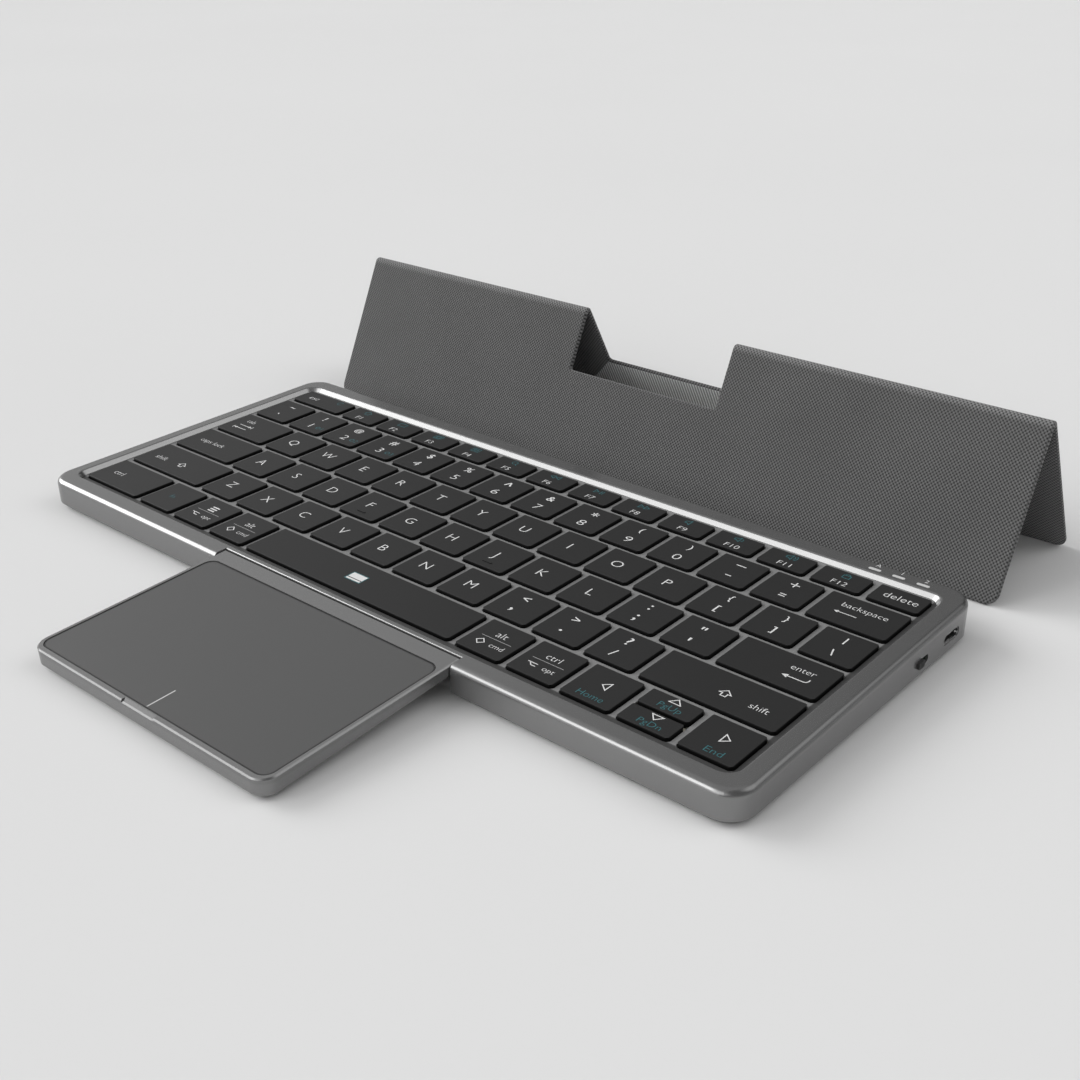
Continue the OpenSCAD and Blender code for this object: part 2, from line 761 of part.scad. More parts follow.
// Opening in the rim, grown by gap.
module pad_opening(gap, low, t) {
  w = pad_w - 2 * rim_side + 2 * gap;
  d = pad_d - rim_front - rim_back + 2 * gap;
  translate([-w / 2, -pad_d + rim_front - gap, low]) linear_extrude(t) rounded_rect(w, d, surface_r + gap);
}

// Four screws along the strip behind the touch surface, in the frame of the touchpad's top.
module pad_screw_places() {
  for (x = pad_screw_x) translate([x, -pad_screw_in, 0]) children();
}

// Cylinder that stands on the touchpad's underside and ends below the top by drop.
module pad_upright(r, low, drop) {
  intersection() {
    on_pad() pad_screw_places() translate([0, 0, -DEEP]) cylinder(r = r, h = DEEP - drop);
    on_pad_base() translate([-BIG / 2, -BIG / 2, low]) cube([BIG, BIG, DEEP]);
  }
}

module knuckles() {
  x = pad_w / 2 - knuckle_l / 2 - knuckle_in;
  for (s = [-1, 1]) translate([s * x, pin_local_y, pin_local_z]) {
    rotate([0, 90, 0]) cylinder(r = knuckle_r, h = knuckle_l, center = true);
    translate([-knuckle_l / 2, -knuckle_r, 0]) cube([knuckle_l, 2 * knuckle_r, 1]);
  }
}

module touchpad_tray() {
  color("#707274") difference() {
    union() {
      difference() {
        intersection() {
          pad_form();
          on_pad() translate([-BIG / 2, -BIG / 2, -DEEP]) cube([BIG, BIG, DEEP - rim_t]);
        }
        intersection() {
          on_pad() translate([-pad_w / 2 + tray_wall, -pad_d + tray_wall, -DEEP]) linear_extrude(DEEP)
            rounded_rect(pad_w - 2 * tray_wall, pad_d - 2 * tray_wall, pad_r - tray_wall);
          on_pad_base() translate([-BIG / 2, -BIG / 2, tray_floor]) cube([BIG, BIG, DEEP]);
        }
      }
      intersection() {
        on_pad() knuckles();
        on_pad() translate([-BIG / 2, -BIG, -DEEP]) cube([BIG, BIG, DEEP - rim_t]);
      }
      pad_upright(pad_boss_r, 0, rim_t);
    }
    on_pad() translate([-pad_w, pin_local_y, pin_local_z]) rotate([0, 90, 0])
      cylinder(r = pin_r + fit, h = 2 * pad_w);
    pad_upright(pad_screw_r + fit, -1, 0);
    difference() {
      pad_upright(pad_head_r + fit, -1, 0);
      on_pad_base() translate([-BIG / 2, -BIG / 2, pad_head_t]) cube([BIG, BIG, DEEP]);
    }
  }
}

// Slope across the middle of the front rim, with a chamfer along its lower edge.
module finger_notch() {
  slope = finger_d / finger_in;
  lip = -finger_d + pad_chamfer * slope;
  on_pad() translate([-finger_w / 2, -pad_d, 0]) rotate([90, 0, 90]) linear_extrude(finger_w)
    polygon([
      [-1, lip - pad_chamfer - 1], [pad_chamfer, lip],
      [2 * finger_in, finger_d], [-1, finger_d]
    ]);
}

module touchpad_frame() {
  color("#8a8c8d") difference() {
    intersection() {
      pad_form();
      on_pad() translate([-BIG / 2, -BIG / 2, -rim_t]) cube([BIG, BIG, DEEP]);
    }
    on_pad() pad_opening(0, -DEEP, 2 * DEEP);
    finger_notch();
    pad_upright(pad_screw_r + fit, 0, pad_screw_drop - fit);
  }
}

module touchpad_surface() {
  color("#5b5c5d") on_pad() pad_opening(-surface_gap, -surface_drop - surface_t, surface_t);
}

module touchpad_board() {
  color("#1f5a38") on_pad() pad_opening(-surface_gap - 1, -board_drop - pad_board_t, pad_board_t);
}

// Snap switch under the front of the touch surface.
module click_switch() {
  top = -board_drop - pad_board_t - click_travel - fit;
  color("#c8cacb") intersection() {
    on_pad() translate([-click_w / 2, -pad_d + click_from_front, top - DEEP])
      cube([click_w, click_w, DEEP]);
    on_pad_base() translate([-BIG / 2, -BIG / 2, tray_floor]) cube([BIG, BIG, DEEP]);
  }
}

module touchpad_foot() {
  color("#202021") difference() {
    translate([bay_x - pad_foot_w / 2, pad_back_y - pad_d * cos(pad_tilt) + pad_foot_in, 0])
      linear_extrude(DEEP) rounded_rect(pad_foot_w, pad_foot_d, pad_foot_r);
    on_pad_base() translate([-BIG / 2, -BIG / 2, 0]) cube([BIG, BIG, BIG]);
  }
}

module touchpad_screws() {
  color("#3a3b3d") {
    pad_upright(pad_screw_r, 0, pad_screw_drop);
    difference() {
      pad_upright(pad_head_r, 0, 0);
      on_pad_base() translate([-BIG / 2, -BIG / 2, pad_head_t - fit]) cube([BIG, BIG, DEEP]);
    }
  }
}

// ---- Stand --------------------------------------------------------------

// Outline of a panel from its start to its end, with the notch at the fold.
module panel_outline(length, notch, inset) {
  w = stand_w - 2 * inset;
  d = length - panel_start - 2 * inset;
  difference() {
    translate([-w / 2, panel_start + inset]) union() {
      translate([0, panel_r]) rounded_rect(w, d - panel_r, panel_r);
      square([w, 2 * panel_r + 1]);
    }
    translate([-notch_w / 2 - inset, -1]) square([notch_w + 2 * inset, notch + inset + 1]);
  }
}

// Outer cloth of a panel: a sheet with its hem turned over the edge of the board.
module panel_cloth(length, notch) {
  translate([0, 0, cloth_in]) linear_extrude(board_t + cloth_t)
    difference() {
      panel_outline(length, notch, 0);
      panel_outline(length, notch, hem);
    }
  translate([0, 0, cloth_in + board_t]) linear_extrude(cloth_t)
    panel_outline(length, notch, 0);
}

module panel_board(length, notch) {
  translate([0, 0, cloth_in]) linear_extrude(board_t) difference() {
    panel_outline(length, notch, hem + fit);
    for (x = [-1, 1]) translate([x * (stand_w / 2 - magnet_side), length - magnet_up])
      circle(magnet_r + fit);
  }
}

module panel_lining(length, notch) {
  translate([0, 0, panel_in]) linear_extrude(lining_t) panel_outline(length, notch, lining_inset);
}

module front_cloth() {
  color("#58595a") on_front_panel() panel_cloth(front_len, notch_front);
}

module front_board() {
  color("#b8ab90") on_front_panel() panel_board(front_len, notch_front);
}

module front_lining() {
  color("#434445") on_front_panel() panel_lining(front_len, notch_front);
}

module back_cloth() {
  color("#58595a") on_back_panel() panel_cloth(back_len, notch_back);
}

module back_board() {
  color("#b8ab90") on_back_panel() panel_board(back_len, notch_back);
}

module back_lining() {
  color("#434445") on_back_panel() panel_lining(back_len, notch_back);
}

// Rounded fold, on each side of the notch.
module fold_bead() {
  side = (stand_w - notch_w) / 2;
  color("#646566") for (x = [-stand_w / 2, notch_w / 2])
    translate([stand_x + x, stand_py, fold_z]) rotate([0, 90, 0]) cylinder(r = fold_r, h = side);
}

module stand_magnets() {
  color("#a9acaf") on_front_panel()
    for (x = [-1, 1]) translate([x * (stand_w / 2 - magnet_side), front_len - magnet_up, cloth_in])
      cylinder(r = magnet_r, h = board_t);
}

// ---- Nodes --------------------------------------------------------------

top_frame();
bottom_cover();
key_web();
membrane();
base_plate();
rubber_domes();
touchpad_bay();
touchpad_pin();
main_board();
battery_pack();
usb_c_port();
switch_housing();
indicator_lenses();
rear_foot();
front_feet();
case_screws();
power_switch();
key(FNROW, 0);  // key_esc
keys(FNROW, 1, 12);  // keys_function
key(FNROW, 13);  // key_delete
keys(NUMROW, 0, 12);  // keys_number
key(NUMROW, 13);  // key_backspace
key(QROW, 0);  // key_tab
keys(QROW, 1, 12);  // keys_q_row
key(QROW, 13);  // key_backslash
key(AROW, 0);  // key_caps
union() {  // keys_a_row
  keys(AROW, 1, 11);
  home_bar(4);
  home_bar(7);
}
key(AROW, 12);  // key_enter
key(ZROW, 0);  // key_shift_left
keys(ZROW, 1, 10);  // keys_z_row
key(ZROW, 11);  // key_shift_right
key(BOTTOM, 0);  // key_ctrl_left
key(BOTTOM, 1);  // key_fn
key(BOTTOM, 2);  // key_opt_left
key(BOTTOM, 3);  // key_cmd_left
key(BOTTOM, 4);  // key_space
key(BOTTOM, 5);  // key_cmd_right
key(BOTTOM, 6);  // key_opt_right
key(BOTTOM, 7);  // key_arrow_left
half_key(1);  // key_arrow_up
half_key(0);  // key_arrow_down
key(BOTTOM, 9);  // key_arrow_right
touchpad_tray();
touchpad_frame();
touchpad_surface();
touchpad_board();
click_switch();
touchpad_foot();
touchpad_screws();
front_cloth();
front_board();
front_lining();
fold_bead();
stand_magnets();
back_cloth();
back_board();
back_lining();
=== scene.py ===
# Looks of the folding keyboard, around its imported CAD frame. Metres, in the part's own frame.
import json
import math
import bmesh
import bpy
from mathutils import Matrix, Vector


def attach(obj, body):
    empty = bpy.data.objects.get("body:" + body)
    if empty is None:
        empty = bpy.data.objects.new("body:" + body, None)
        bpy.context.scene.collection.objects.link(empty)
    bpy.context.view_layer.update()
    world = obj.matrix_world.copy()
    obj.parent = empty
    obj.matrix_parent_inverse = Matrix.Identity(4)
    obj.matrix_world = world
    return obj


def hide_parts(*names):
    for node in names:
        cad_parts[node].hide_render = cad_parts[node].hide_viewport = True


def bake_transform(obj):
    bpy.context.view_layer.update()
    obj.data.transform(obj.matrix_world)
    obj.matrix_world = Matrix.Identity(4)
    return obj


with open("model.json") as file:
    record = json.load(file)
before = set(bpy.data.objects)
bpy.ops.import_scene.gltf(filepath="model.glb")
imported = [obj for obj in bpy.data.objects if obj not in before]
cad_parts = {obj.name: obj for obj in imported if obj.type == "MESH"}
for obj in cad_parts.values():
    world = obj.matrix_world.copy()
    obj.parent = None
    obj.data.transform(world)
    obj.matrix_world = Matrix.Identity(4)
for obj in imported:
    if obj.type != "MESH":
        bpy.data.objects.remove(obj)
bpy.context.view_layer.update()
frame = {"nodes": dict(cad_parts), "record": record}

MM = 0.001

# ---- Sizes, in millimetres and degrees, as in part.scad -------------------------------------

# Keys. The deck is the plane of the key tops, and starts at the back edge of the bottom row.
PITCH = 18.4
GAP_X = 2.4
GAP_Y = 2.3
FN_D = 9.8
FN_GAP = 2.5
ARROW_GAP = 1.2
DECK_Y = -87.4
DECK_Z = 10.4
DECK_TILT = 1.26
FIELD_X = -132.4
FIELD_UNITS = 14.5
KEY_D = PITCH - GAP_Y
ARROW_D = (KEY_D - ARROW_GAP) / 2
KEYS_RIGHT = FIELD_X + FIELD_UNITS * PITCH - GAP_X
KEYS_FRONT_Y = DECK_Y - KEY_D
ROWS = {
    "bottom": [1.65, 1, 1, 1, 4.85, 1, 1, 1, 1, 1],
    "z": [2.125] + [1] * 10 + [2.375],
    "a": [1.75] + [1] * 11 + [1.75],
    "q": [1.5] + [1] * 13,
    "number": [1.02] + [1] * 12 + [1.48],
    "fn": [1.5] + [1] * 13,
}
ROW_BACK = {"bottom": 0, "z": PITCH, "a": 2 * PITCH, "q": 3 * PITCH, "number": 4 * PITCH,
            "fn": 4 * PITCH + FN_GAP + FN_D}

# Case: its width, its back edge in the deck's plane, the rim above the key tops, and the lamps:
# from the right side to the first one, and from one to the next.
BODY_W = 281.4
BODY_BACK = 96.2
BEZEL_RISE = 0.65
LAMP_RIGHT = 14.6
LAMP_STEP = 7.7

# Touchpad: the middle of its back edge lies PAD_SINK below the rim.
PAD_X = 0.55
PAD_BACK_Y = -109.45
PAD_SINK = 0.25
PAD_BACK_Z = (DECK_Z - (DECK_Y - PAD_BACK_Y) * math.sin(math.radians(DECK_TILT))
              + BEZEL_RISE - PAD_SINK)
PAD_TILT = 3.12
PAD_W = 99.2
PAD_D = 67
RIM_SIDE = 1.3
RIM_BACK = 5.6
RIM_FRONT = 1.8
SURFACE_DROP = 0.15
SURFACE_GAP = 0.25
SURFACE_R = 3.1

# Stand
STAND_X = -4.7
STAND_W = 287.5
FOLD_Y = 52.0
FOLD_Z = 50.5
FOLD_R = 1.9
FRONT_SLOPE = 65.4
BACK_SLOPE = 60.2
CLOTH_IN = 0.5
NOTCH_W = 64
NOTCH_FRONT = 21.6
NOTCH_BACK = 25.2
PANEL_R = 4

# The cover as a flat sheet: the lengths of its panels and of the arc round the fold.


def panel_length(slope):
    """Length of a panel from the fold's centre line to the desk."""
    angle = math.radians(slope)
    return (FOLD_Z + CLOTH_IN * math.cos(angle)) / math.sin(angle)


FRONT_LEN = panel_length(FRONT_SLOPE)
BACK_LEN = panel_length(BACK_SLOPE)
ARC = FOLD_R * math.radians(FRONT_SLOPE + BACK_SLOPE)

# ---- Materials ----------------------------------------------------------------------------


class Tree:
    """An emptied node tree, with short names for making and joining its nodes."""

    def __init__(self, tree):
        self.tree = tree
        tree.nodes.clear()

    def add(self, kind, **values):
        node = self.tree.nodes.new(kind)
        for key, value in values.items():
            setattr(node, key, value)
        return node

    def link(self, a, b):
        self.tree.links.new(a, b)

    def put(self, socket, value):
        if isinstance(value, (int, float)):
            socket.default_value = value
        else:
            self.link(value, socket)

    def math(self, op, a, b=0.0):
        node = self.add("ShaderNodeMath", operation=op)
        self.put(node.inputs[0], a)
        self.put(node.inputs[1], b)
        return node.outputs[0]

    def times(self, first, *others):
        for other in others:
            first = self.math("MULTIPLY", first, other)
        return first

    def smooth(self, value, low, high):
        """0 below low, 1 above high, and smooth between them."""
        node = self.add("ShaderNodeMapRange", interpolation_type="SMOOTHSTEP")
        self.put(node.inputs["Value"], value)
        node.inputs["From Min"].default_value = low
        node.inputs["From Max"].default_value = high
        return node.outputs[0]

    def below(self, value, low, high):
        """1 below low, 0 above high, and smooth between them."""
        return self.math("SUBTRACT", 1.0, self.smooth(value, low, high))

    def band(self, value, rise, fall):
        """1 between the two pairs of borders, and 0 outside them."""
        return self.times(self.smooth(value, *rise), self.below(value, *fall))

    def noise(self, scale, detail=3.0, vector=None, roughness=0.5):
        node = self.add("ShaderNodeTexNoise")
        node.inputs["Scale"].default_value = scale
        node.inputs["Detail"].default_value = detail
        node.inputs["Roughness"].default_value = roughness
        self.link(vector or self.coords(), node.inputs["Vector"])
        return node.outputs[0]

    def coords(self, which="Object"):
        return self.add("ShaderNodeTexCoord").outputs[which]

    def split(self, vector):
        node = self.add("ShaderNodeSeparateXYZ")
        self.link(vector, node.inputs[0])
        return node.outputs

    def blend(self, factor, low, high):
        """Colour between low and high; each is an (r, g, b) or a socket."""
        node = self.add("ShaderNodeMix", data_type="RGBA")
        self.put(node.inputs[0], factor)
        for socket, value in ((node.inputs[6], low), (node.inputs[7], high)):
            if isinstance(value, tuple):
                socket.default_value = (*value, 1)
            else:
                self.link(value, socket)
        return node.outputs[2]


class Nodes(Tree):
    """A new material with its shader."""

    def __init__(self, name):
        self.mat = bpy.data.materials.new(name)
        self.mat.use_nodes = True
        super().__init__(self.mat.node_tree)
        self.out = self.add("ShaderNodeOutputMaterial")
        self.shader = self.add("ShaderNodeBsdfPrincipled")
        self.link(self.shader.outputs[0], self.out.inputs[0])

    def colour(self, socket):
        self.link(socket, self.shader.inputs["Base Color"])

    def set(self, **values):
        names = {"rough": "Roughness", "metal": "Metallic", "sheen": "Sheen Weight",
                 "sheen_rough": "Sheen Roughness", "spec": "Specular IOR Level"}
        for key, value in values.items():
            self.shader.inputs[names[key]].default_value = value

    def bump(self, height, distance, strength=1.0):
        node = self.add("ShaderNodeBump")
        node.inputs["Distance"].default_value = distance
        node.inputs["Strength"].default_value = strength
        self.link(height, node.inputs["Height"])
        self.link(node.outputs[0], self.shader.inputs["Normal"])

    def speckle(self, clouds, fine, share, low, high):
        """Colour between low and high by soft clouds, which have that share, and a fine grain."""
        mixed = self.math("ADD", self.times(clouds, share), self.times(fine, 1 - share))
        return self.blend(mixed, low, high)


def grey(value):
    return (value, value, value)


def dark_and_light(value, spread):
    return grey(value * (1 - spread)), grey(value * (1 + spread))


# Ranges of a face's upward share (the z of its normal) in which its kind begins and ends, for the
# painted light and shade of chamfers, slopes and tops
CHAMFER_UP = (0.55, 0.62), (0.78, 0.82)
SLOPE_UP = (0.82, 0.84), (0.9, 0.92)
TOP_UP = 0.95, 0.98
# The outer chamfer on the right, which gets a painted shade: its normal's x and z, and its place in
# metres
RIGHT_SIDE, RIGHT_UP, RIGHT_X = (0.25, 0.4), (0.15, 0.3), (0.13, 0.136)


def metal(name, value, rough, edge=None, slope=None, top=None, right=None, metallic=0.65):
    """Satin metal with a fine blasted grain, with light and shade painted by the face's tilt. edge
    is the painted value of the chamfers, slope the painted shade of the gentle slopes, top the
    painted value of the flat tops and right the painted shade of the outer chamfer on the right."""
    n = Nodes(name)
    clouds = n.noise(35, 2)
    fine = n.noise(9000, 2)
    base = n.speckle(clouds, fine, 0.5, *dark_and_light(value, 0.06))
    if edge:
        # painted light and shade: chamfers, gentle slopes and flat tops get their own value by the
        # tilt of the face
        up = n.split(n.add("ShaderNodeNewGeometry").outputs["True Normal"])[2]
        chamfer, gentle = n.band(up, *CHAMFER_UP), n.band(up, *SLOPE_UP)
        base = n.blend(gentle, n.blend(chamfer, base, grey(edge)), grey(slope))
        base = n.blend(n.smooth(up, *TOP_UP), base, grey(top))
    if right:
        # painted shade: the outer chamfer on the right side gets a darker value
        side, _, up = n.split(n.add("ShaderNodeNewGeometry").outputs["True Normal"])
        outer = n.smooth(n.split(n.coords())[0], *RIGHT_X)
        chamfer = n.times(n.smooth(side, *RIGHT_SIDE), n.smooth(up, *RIGHT_UP), outer)
        base = n.blend(chamfer, base, grey(right))
    n.colour(base)
    n.set(metal=metallic, rough=rough)
    ramp = n.add("ShaderNodeMapRange")
    n.link(n.noise(60, 4), ramp.inputs["Value"])
    ramp.inputs["To Min"].default_value = rough * 0.92
    ramp.inputs["To Max"].default_value = rough * 1.08
    n.link(ramp.outputs[0], n.shader.inputs["Roughness"])
    n.bump(fine, 0.001 * MM, 0.6)
    return n.mat


def plastic(name, rgb, rough, spread=0.06, grain_scale=6000, grain=0.01):
    """Moulded plastic or rubber with a fine texture."""
    n = Nodes(name)
    low = tuple(c * (1 - spread) for c in rgb)
    high = tuple(c * (1 + spread) for c in rgb)
    fine = n.noise(grain_scale, 3)
    n.colour(n.speckle(n.noise(120, 2), fine, 0.6, low, high))
    n.set(rough=rough, spec=0.5)
    n.bump(fine, grain * MM, 0.7)
    return n.mat


def circuit(name):
    """Green solder mask with fine copper tracks under it."""
    n = Nodes(name)
    x, y, _ = n.split(n.coords())
    tracks = n.math("FRACT", n.math("MULTIPLY", n.math("ADD", x, y), 900))
    track = n.smooth(tracks, 0.45, 0.55)
    n.colour(n.blend(track, (0.006, 0.07, 0.03), (0.012, 0.11, 0.05)))
    n.set(rough=0.3)
    n.bump(track, 0.03 * MM, 0.5)
    return n.mat


def keycap():
    """Matt charcoal caps with a fine texture; the sides have a painted shade, near black against
    the tops, and are duller.
    """
    n = Nodes("key_charcoal")
    up = n.split(n.add("ShaderNodeNewGeometry").outputs["True Normal"])[2]
    fine = n.noise(7000, 3)
    top = n.speckle(n.noise(40, 2), fine, 0.6, *dark_and_light(0.0162, 0.05))
    # painted shade: faces that tilt away from the top are near black
    on_top = n.smooth(up, 0.75, 0.92)
    n.colour(n.blend(on_top, grey(0.003), top))
    n.set(rough=0.5, spec=0.3)
    gloss = n.math("ADD", 0.08, n.times(on_top, 0.22))
    n.link(gloss, n.shader.inputs["Specular IOR Level"])
    n.bump(fine, 0.006 * MM, 0.6)
    return n.mat


def web():
    """The plate between the keys: grey, with painted shade on the strips outside the front and
    right keys.
    """
    n = Nodes("web_grey")
    x, y, _ = n.split(n.coords())
    right = n.smooth(x, (KEYS_RIGHT - 0.3) * MM, (KEYS_RIGHT + 0.2) * MM)
    front = n.below(y, (KEYS_FRONT_Y - 0.2) * MM, (KEYS_FRONT_Y + 0.3) * MM)
    fine = n.noise(6000, 3)
    base = n.speckle(n.noise(120, 2), fine, 0.6, *dark_and_light(0.2, 0.06))
    # painted shade outside the front and right keys
    n.colour(n.blend(n.math("MAXIMUM", right, front), base, grey(0.045)))
    n.set(rough=0.4)
    n.bump(fine, 0.01 * MM, 0.7)
    return n.mat


# Pitches of the weave, measured in the photo, and how the left border leans of the painted pool
# of light below the notch, a painted shadow edge
WARP_PITCH = 0.617
WEFT_PITCH = 0.68
SHADOW_EDGE_LEAN = 0.95


def bare_zone(n, flat_u, flat_v):
    """1 on the ribbed lining below the notch, a painted pool of light with a slanting painted
    shadow edge at its left.
    """
    below = n.math("SUBTRACT", flat_v, ARC + NOTCH_BACK)
    lean = n.times(below, SHADOW_EDGE_LEAN)
    left = n.math("ADD", n.math("SUBTRACT", flat_u, STAND_X - NOTCH_W / 2), lean)
    right = n.math("SUBTRACT", STAND_X + NOTCH_W / 2, flat_u)
    inside = n.smooth(left, -0.4, 0.4), n.smooth(right, -0.4, 0.4)
    return n.times(n.smooth(below, -1.0, 0.0), *inside)


def woven(name, value, fold_highlight=False, notch_light_gain=1.0):
    """Cloth with an over and under weave, in millimetres from the UV map: u along the fold, v round
    it. It can have a painted highlight, a lighter band along the fold, and a painted pool of light:
    the value below the notch multiplied, where the cloth has fine ribs in place of the weave."""
    n = Nodes(name)
    uv = n.coords("UV")
    flat_u, flat_v, _ = n.split(uv)
    wobble = n.noise(0.35, 2, uv)
    u = n.math("ADD", n.math("DIVIDE", flat_u, WARP_PITCH), n.times(wobble, 0.25))
    v = n.math("ADD", n.math("DIVIDE", flat_v, WEFT_PITCH), n.times(wobble, 0.2))
    cell_u, cell_v = n.math("FLOOR", u), n.math("FLOOR", v)
    across, along = (n.math("SINE", n.math("MULTIPLY", n.math("FRACT", way), math.pi))
                     for way in (u, v))

    ribbed_lit = bare_zone(n, flat_u, flat_v) if notch_light_gain != 1.0 else 0.0
    crossed = n.math("LESS_THAN", ribbed_lit, 0.5)
    cell = n.math("ADD", cell_u, n.times(cell_v, crossed))
    warp_on_top = n.math("GREATER_THAN", n.math("MODULO", n.math("ABSOLUTE", cell), 2.0), 0.5)
    hump = n.times(across, n.math("MAXIMUM", along, n.math("SUBTRACT", 1.0, crossed)))
    thread = n.times(n.math("POWER", hump, 0.6), warp_on_top)
    gap = n.times(hump, n.math("SUBTRACT", 1.0, warp_on_top))
    gap_depth = n.math("ADD", 0.4, n.times(crossed, 0.22))

    shade = n.math("SUBTRACT", n.times(thread, 0.38), n.times(gap, gap_depth))
    slub = n.math("ADD", 0.45, n.times(n.noise(1.9, 2, uv, 0.7), 1.1))
    patches = n.math("ADD", 0.85, n.times(n.noise(0.03, 3, uv), 0.3))
    shade = n.times(n.math("ADD", 0.62, shade), slub, patches)
    # painted highlight: a lighter band along the fold
    if fold_highlight:
        near = n.band(flat_v, (-1.2, 0.4), (ARC - 0.4, ARC + 1.2))
        shade = n.times(shade, n.math("ADD", 1.0, n.times(near, 0.6)))
    # painted pool of light below the notch
    if notch_light_gain != 1.0:
        shade = n.times(shade, n.math("ADD", 1.0, n.times(ribbed_lit, notch_light_gain - 1.0)))
    n.colour(n.blend(n.times(shade, 0.15), grey(value * 0.05), grey(value * 11.0)))
    n.set(rough=0.85, sheen=0.2, sheen_rough=0.5, spec=0.15)
    n.bump(n.math("SUBTRACT", thread, gap), 0.12 * MM, 0.8)
    return n.mat


# ---- Camera, floor and light ----------------------------------------------------------------

# The photo's camera, in degrees, metres and millimetres of lens
CAMERA_AZIMUTH = 40.63
CAMERA_ELEVATION = 26.114
CAMERA_PLACE = (0.27236, -0.33573, 0.20051)
CAMERA_LENS = 46.34

# Radius and height of the rings of the floor's rim, in metres
FLOOR_RIM = [(5.5, 0.0), (6.5, 0.05), (7.2, 0.22), (7.7, 0.6), (7.95, 1.1), (8.0, 1.7)]
RIM_COUNT = 72
BACKDROP_VALUE = 0.735
BACKDROP_FADE = (2.5, 5.0)

# Strengths of the room and of the long soft box, and the borders of the box: the turn round the
# X axis, in degrees, and the x of the direction
ROOM_LIGHT = 0.42
LONG_BOX = 4.7
BOX_TURN = (22, 32), (56, 64)
BOX_X = (-0.97, -0.88), (-0.36, -0.18)
# Steps in y in which the room gets darker behind, and by how much
DARK_STEPS = ((0.55, 0.8), 0.6), ((0.76, 0.88), 0.3)
# Soft glows: direction, inner and outer radius in degrees, and strength
GLOWS = [
    ((-0.88, -0.15, 0.45), 15, 20, 7.5),
    ((-0.85, 0.12, 0.5), 10, 42, 0.3),
    ((0.0, -0.93, 0.36), 10, 40, 2.4),
    ((0.55, 0.5, 0.69), 10, 32, 2.0),
]


def place_camera():
    azimuth, elevation = math.radians(CAMERA_AZIMUTH), math.radians(CAMERA_ELEVATION)
    back = Vector((math.sin(azimuth) * math.cos(elevation),
                   -math.cos(azimuth) * math.cos(elevation), math.sin(elevation)))
    data = bpy.data.cameras.new("camera")
    data.sensor_width = 36
    data.lens = CAMERA_LENS
    data.clip_start = 0.01
    data.clip_end = 20
    camera = bpy.data.objects.new("camera", data)
    camera.location = CAMERA_PLACE
    camera.rotation_euler = back.to_track_quat("Z", "Y").to_euler()
    bpy.context.scene.collection.objects.link(camera)
    bpy.context.scene.camera = camera


def floor_paint():
    """Pale floor; far out, and for camera, mirror and glass rays alone, it has one even value."""
    n = Nodes("floor_pale")
    n.colour(n.blend(n.noise(3, 2), grey(0.626), grey(0.646)))
    n.set(rough=1.0, spec=0.0)
    x, y, _ = n.split(n.coords())
    radius = n.math("SQRT", n.math("ADD", n.times(x, x), n.times(y, y)))
    path = n.add("ShaderNodeLightPath").outputs
    mirror_or_glass = n.math("MAXIMUM", path["Is Glossy Ray"], path["Is Transmission Ray"])
    seen = n.math("MAXIMUM", path["Is Camera Ray"], mirror_or_glass)
    even = n.add("ShaderNodeEmission")
    even.inputs["Color"].default_value = (*grey(BACKDROP_VALUE), 1)
    mix = n.add("ShaderNodeMixShader")
    n.link(n.times(n.smooth(radius, *BACKDROP_FADE), seen), mix.inputs[0])
    n.link(n.shader.outputs[0], mix.inputs[1])
    n.link(even.outputs[0], mix.inputs[2])
    n.link(mix.outputs[0], n.out.inputs[0])
    n.mat.cycles.emission_sampling = "NONE"
    return n.mat


def make_floor():
    """A pale round floor whose rim curves up into a low backdrop."""
    mesh = bpy.data.meshes.new("floor")
    count = RIM_COUNT
    turns = [2 * math.pi * k / count for k in range(count)]
    points = [(radius * math.cos(turn), radius * math.sin(turn), height)
              for radius, height in FLOOR_RIM for turn in turns]
    faces = [tuple(range(count))]
    for first in range(0, (len(FLOOR_RIM) - 1) * count, count):
        for k in range(count):
            a, b = first + k, first + (k + 1) % count
            faces.append((a, b, b + count, a + count))
    mesh.from_pydata(points, [], faces)
    for face in mesh.polygons[1:]:
        face.use_smooth = True
    floor = bpy.data.objects.new("floor", mesh)
    bpy.context.scene.collection.objects.link(floor)
    mesh.materials.append(floor_paint())


def make_world():
    """A pale room, darker behind, with a long soft box over the front left and soft glows round it.
    turn is the angle of a direction round the X axis, up from the front."""
    world = bpy.data.worlds.new("studio")
    bpy.context.scene.world = world
    world.use_nodes = True
    n = Tree(world.node_tree)
    out = n.add("ShaderNodeOutputWorld")
    sky = n.add("ShaderNodeBackground")
    n.link(sky.outputs[0], out.inputs[0])
    way = n.coords("Generated")
    x, y, z = n.split(way)
    turn = n.math("ARCTAN2", z, n.math("MULTIPLY", y, -1.0))

    def glow(direction, inner, outer):
        dot = n.add("ShaderNodeVectorMath", operation="DOT_PRODUCT")
        n.link(way, dot.inputs[0])
        dot.inputs[1].default_value = Vector(direction).normalized()
        low, high = (math.cos(math.radians(radius)) for radius in (outer, inner))
        return n.smooth(dot.outputs["Value"], low, high)

    turns = [tuple(map(math.radians, border)) for border in BOX_TURN]
    long_box = n.times(n.band(turn, *turns), n.band(x, *BOX_X))
    dark = n.math("ADD", *(n.times(n.smooth(y, *steps), share) for steps, share in DARK_STEPS))
    room = n.times(n.math("SUBTRACT", 1.0, dark), ROOM_LIGHT)
    light = n.math("ADD", room, n.times(long_box, LONG_BOX))
    for direction, inner, outer, strength in GLOWS:
        light = n.math("ADD", light, n.times(glow(direction, inner, outer), strength))
    n.link(light, sky.inputs[1])


# ---- Small flat shapes: legends, arrows, icons ----------------------------------------------

FONT_UNIT = {}


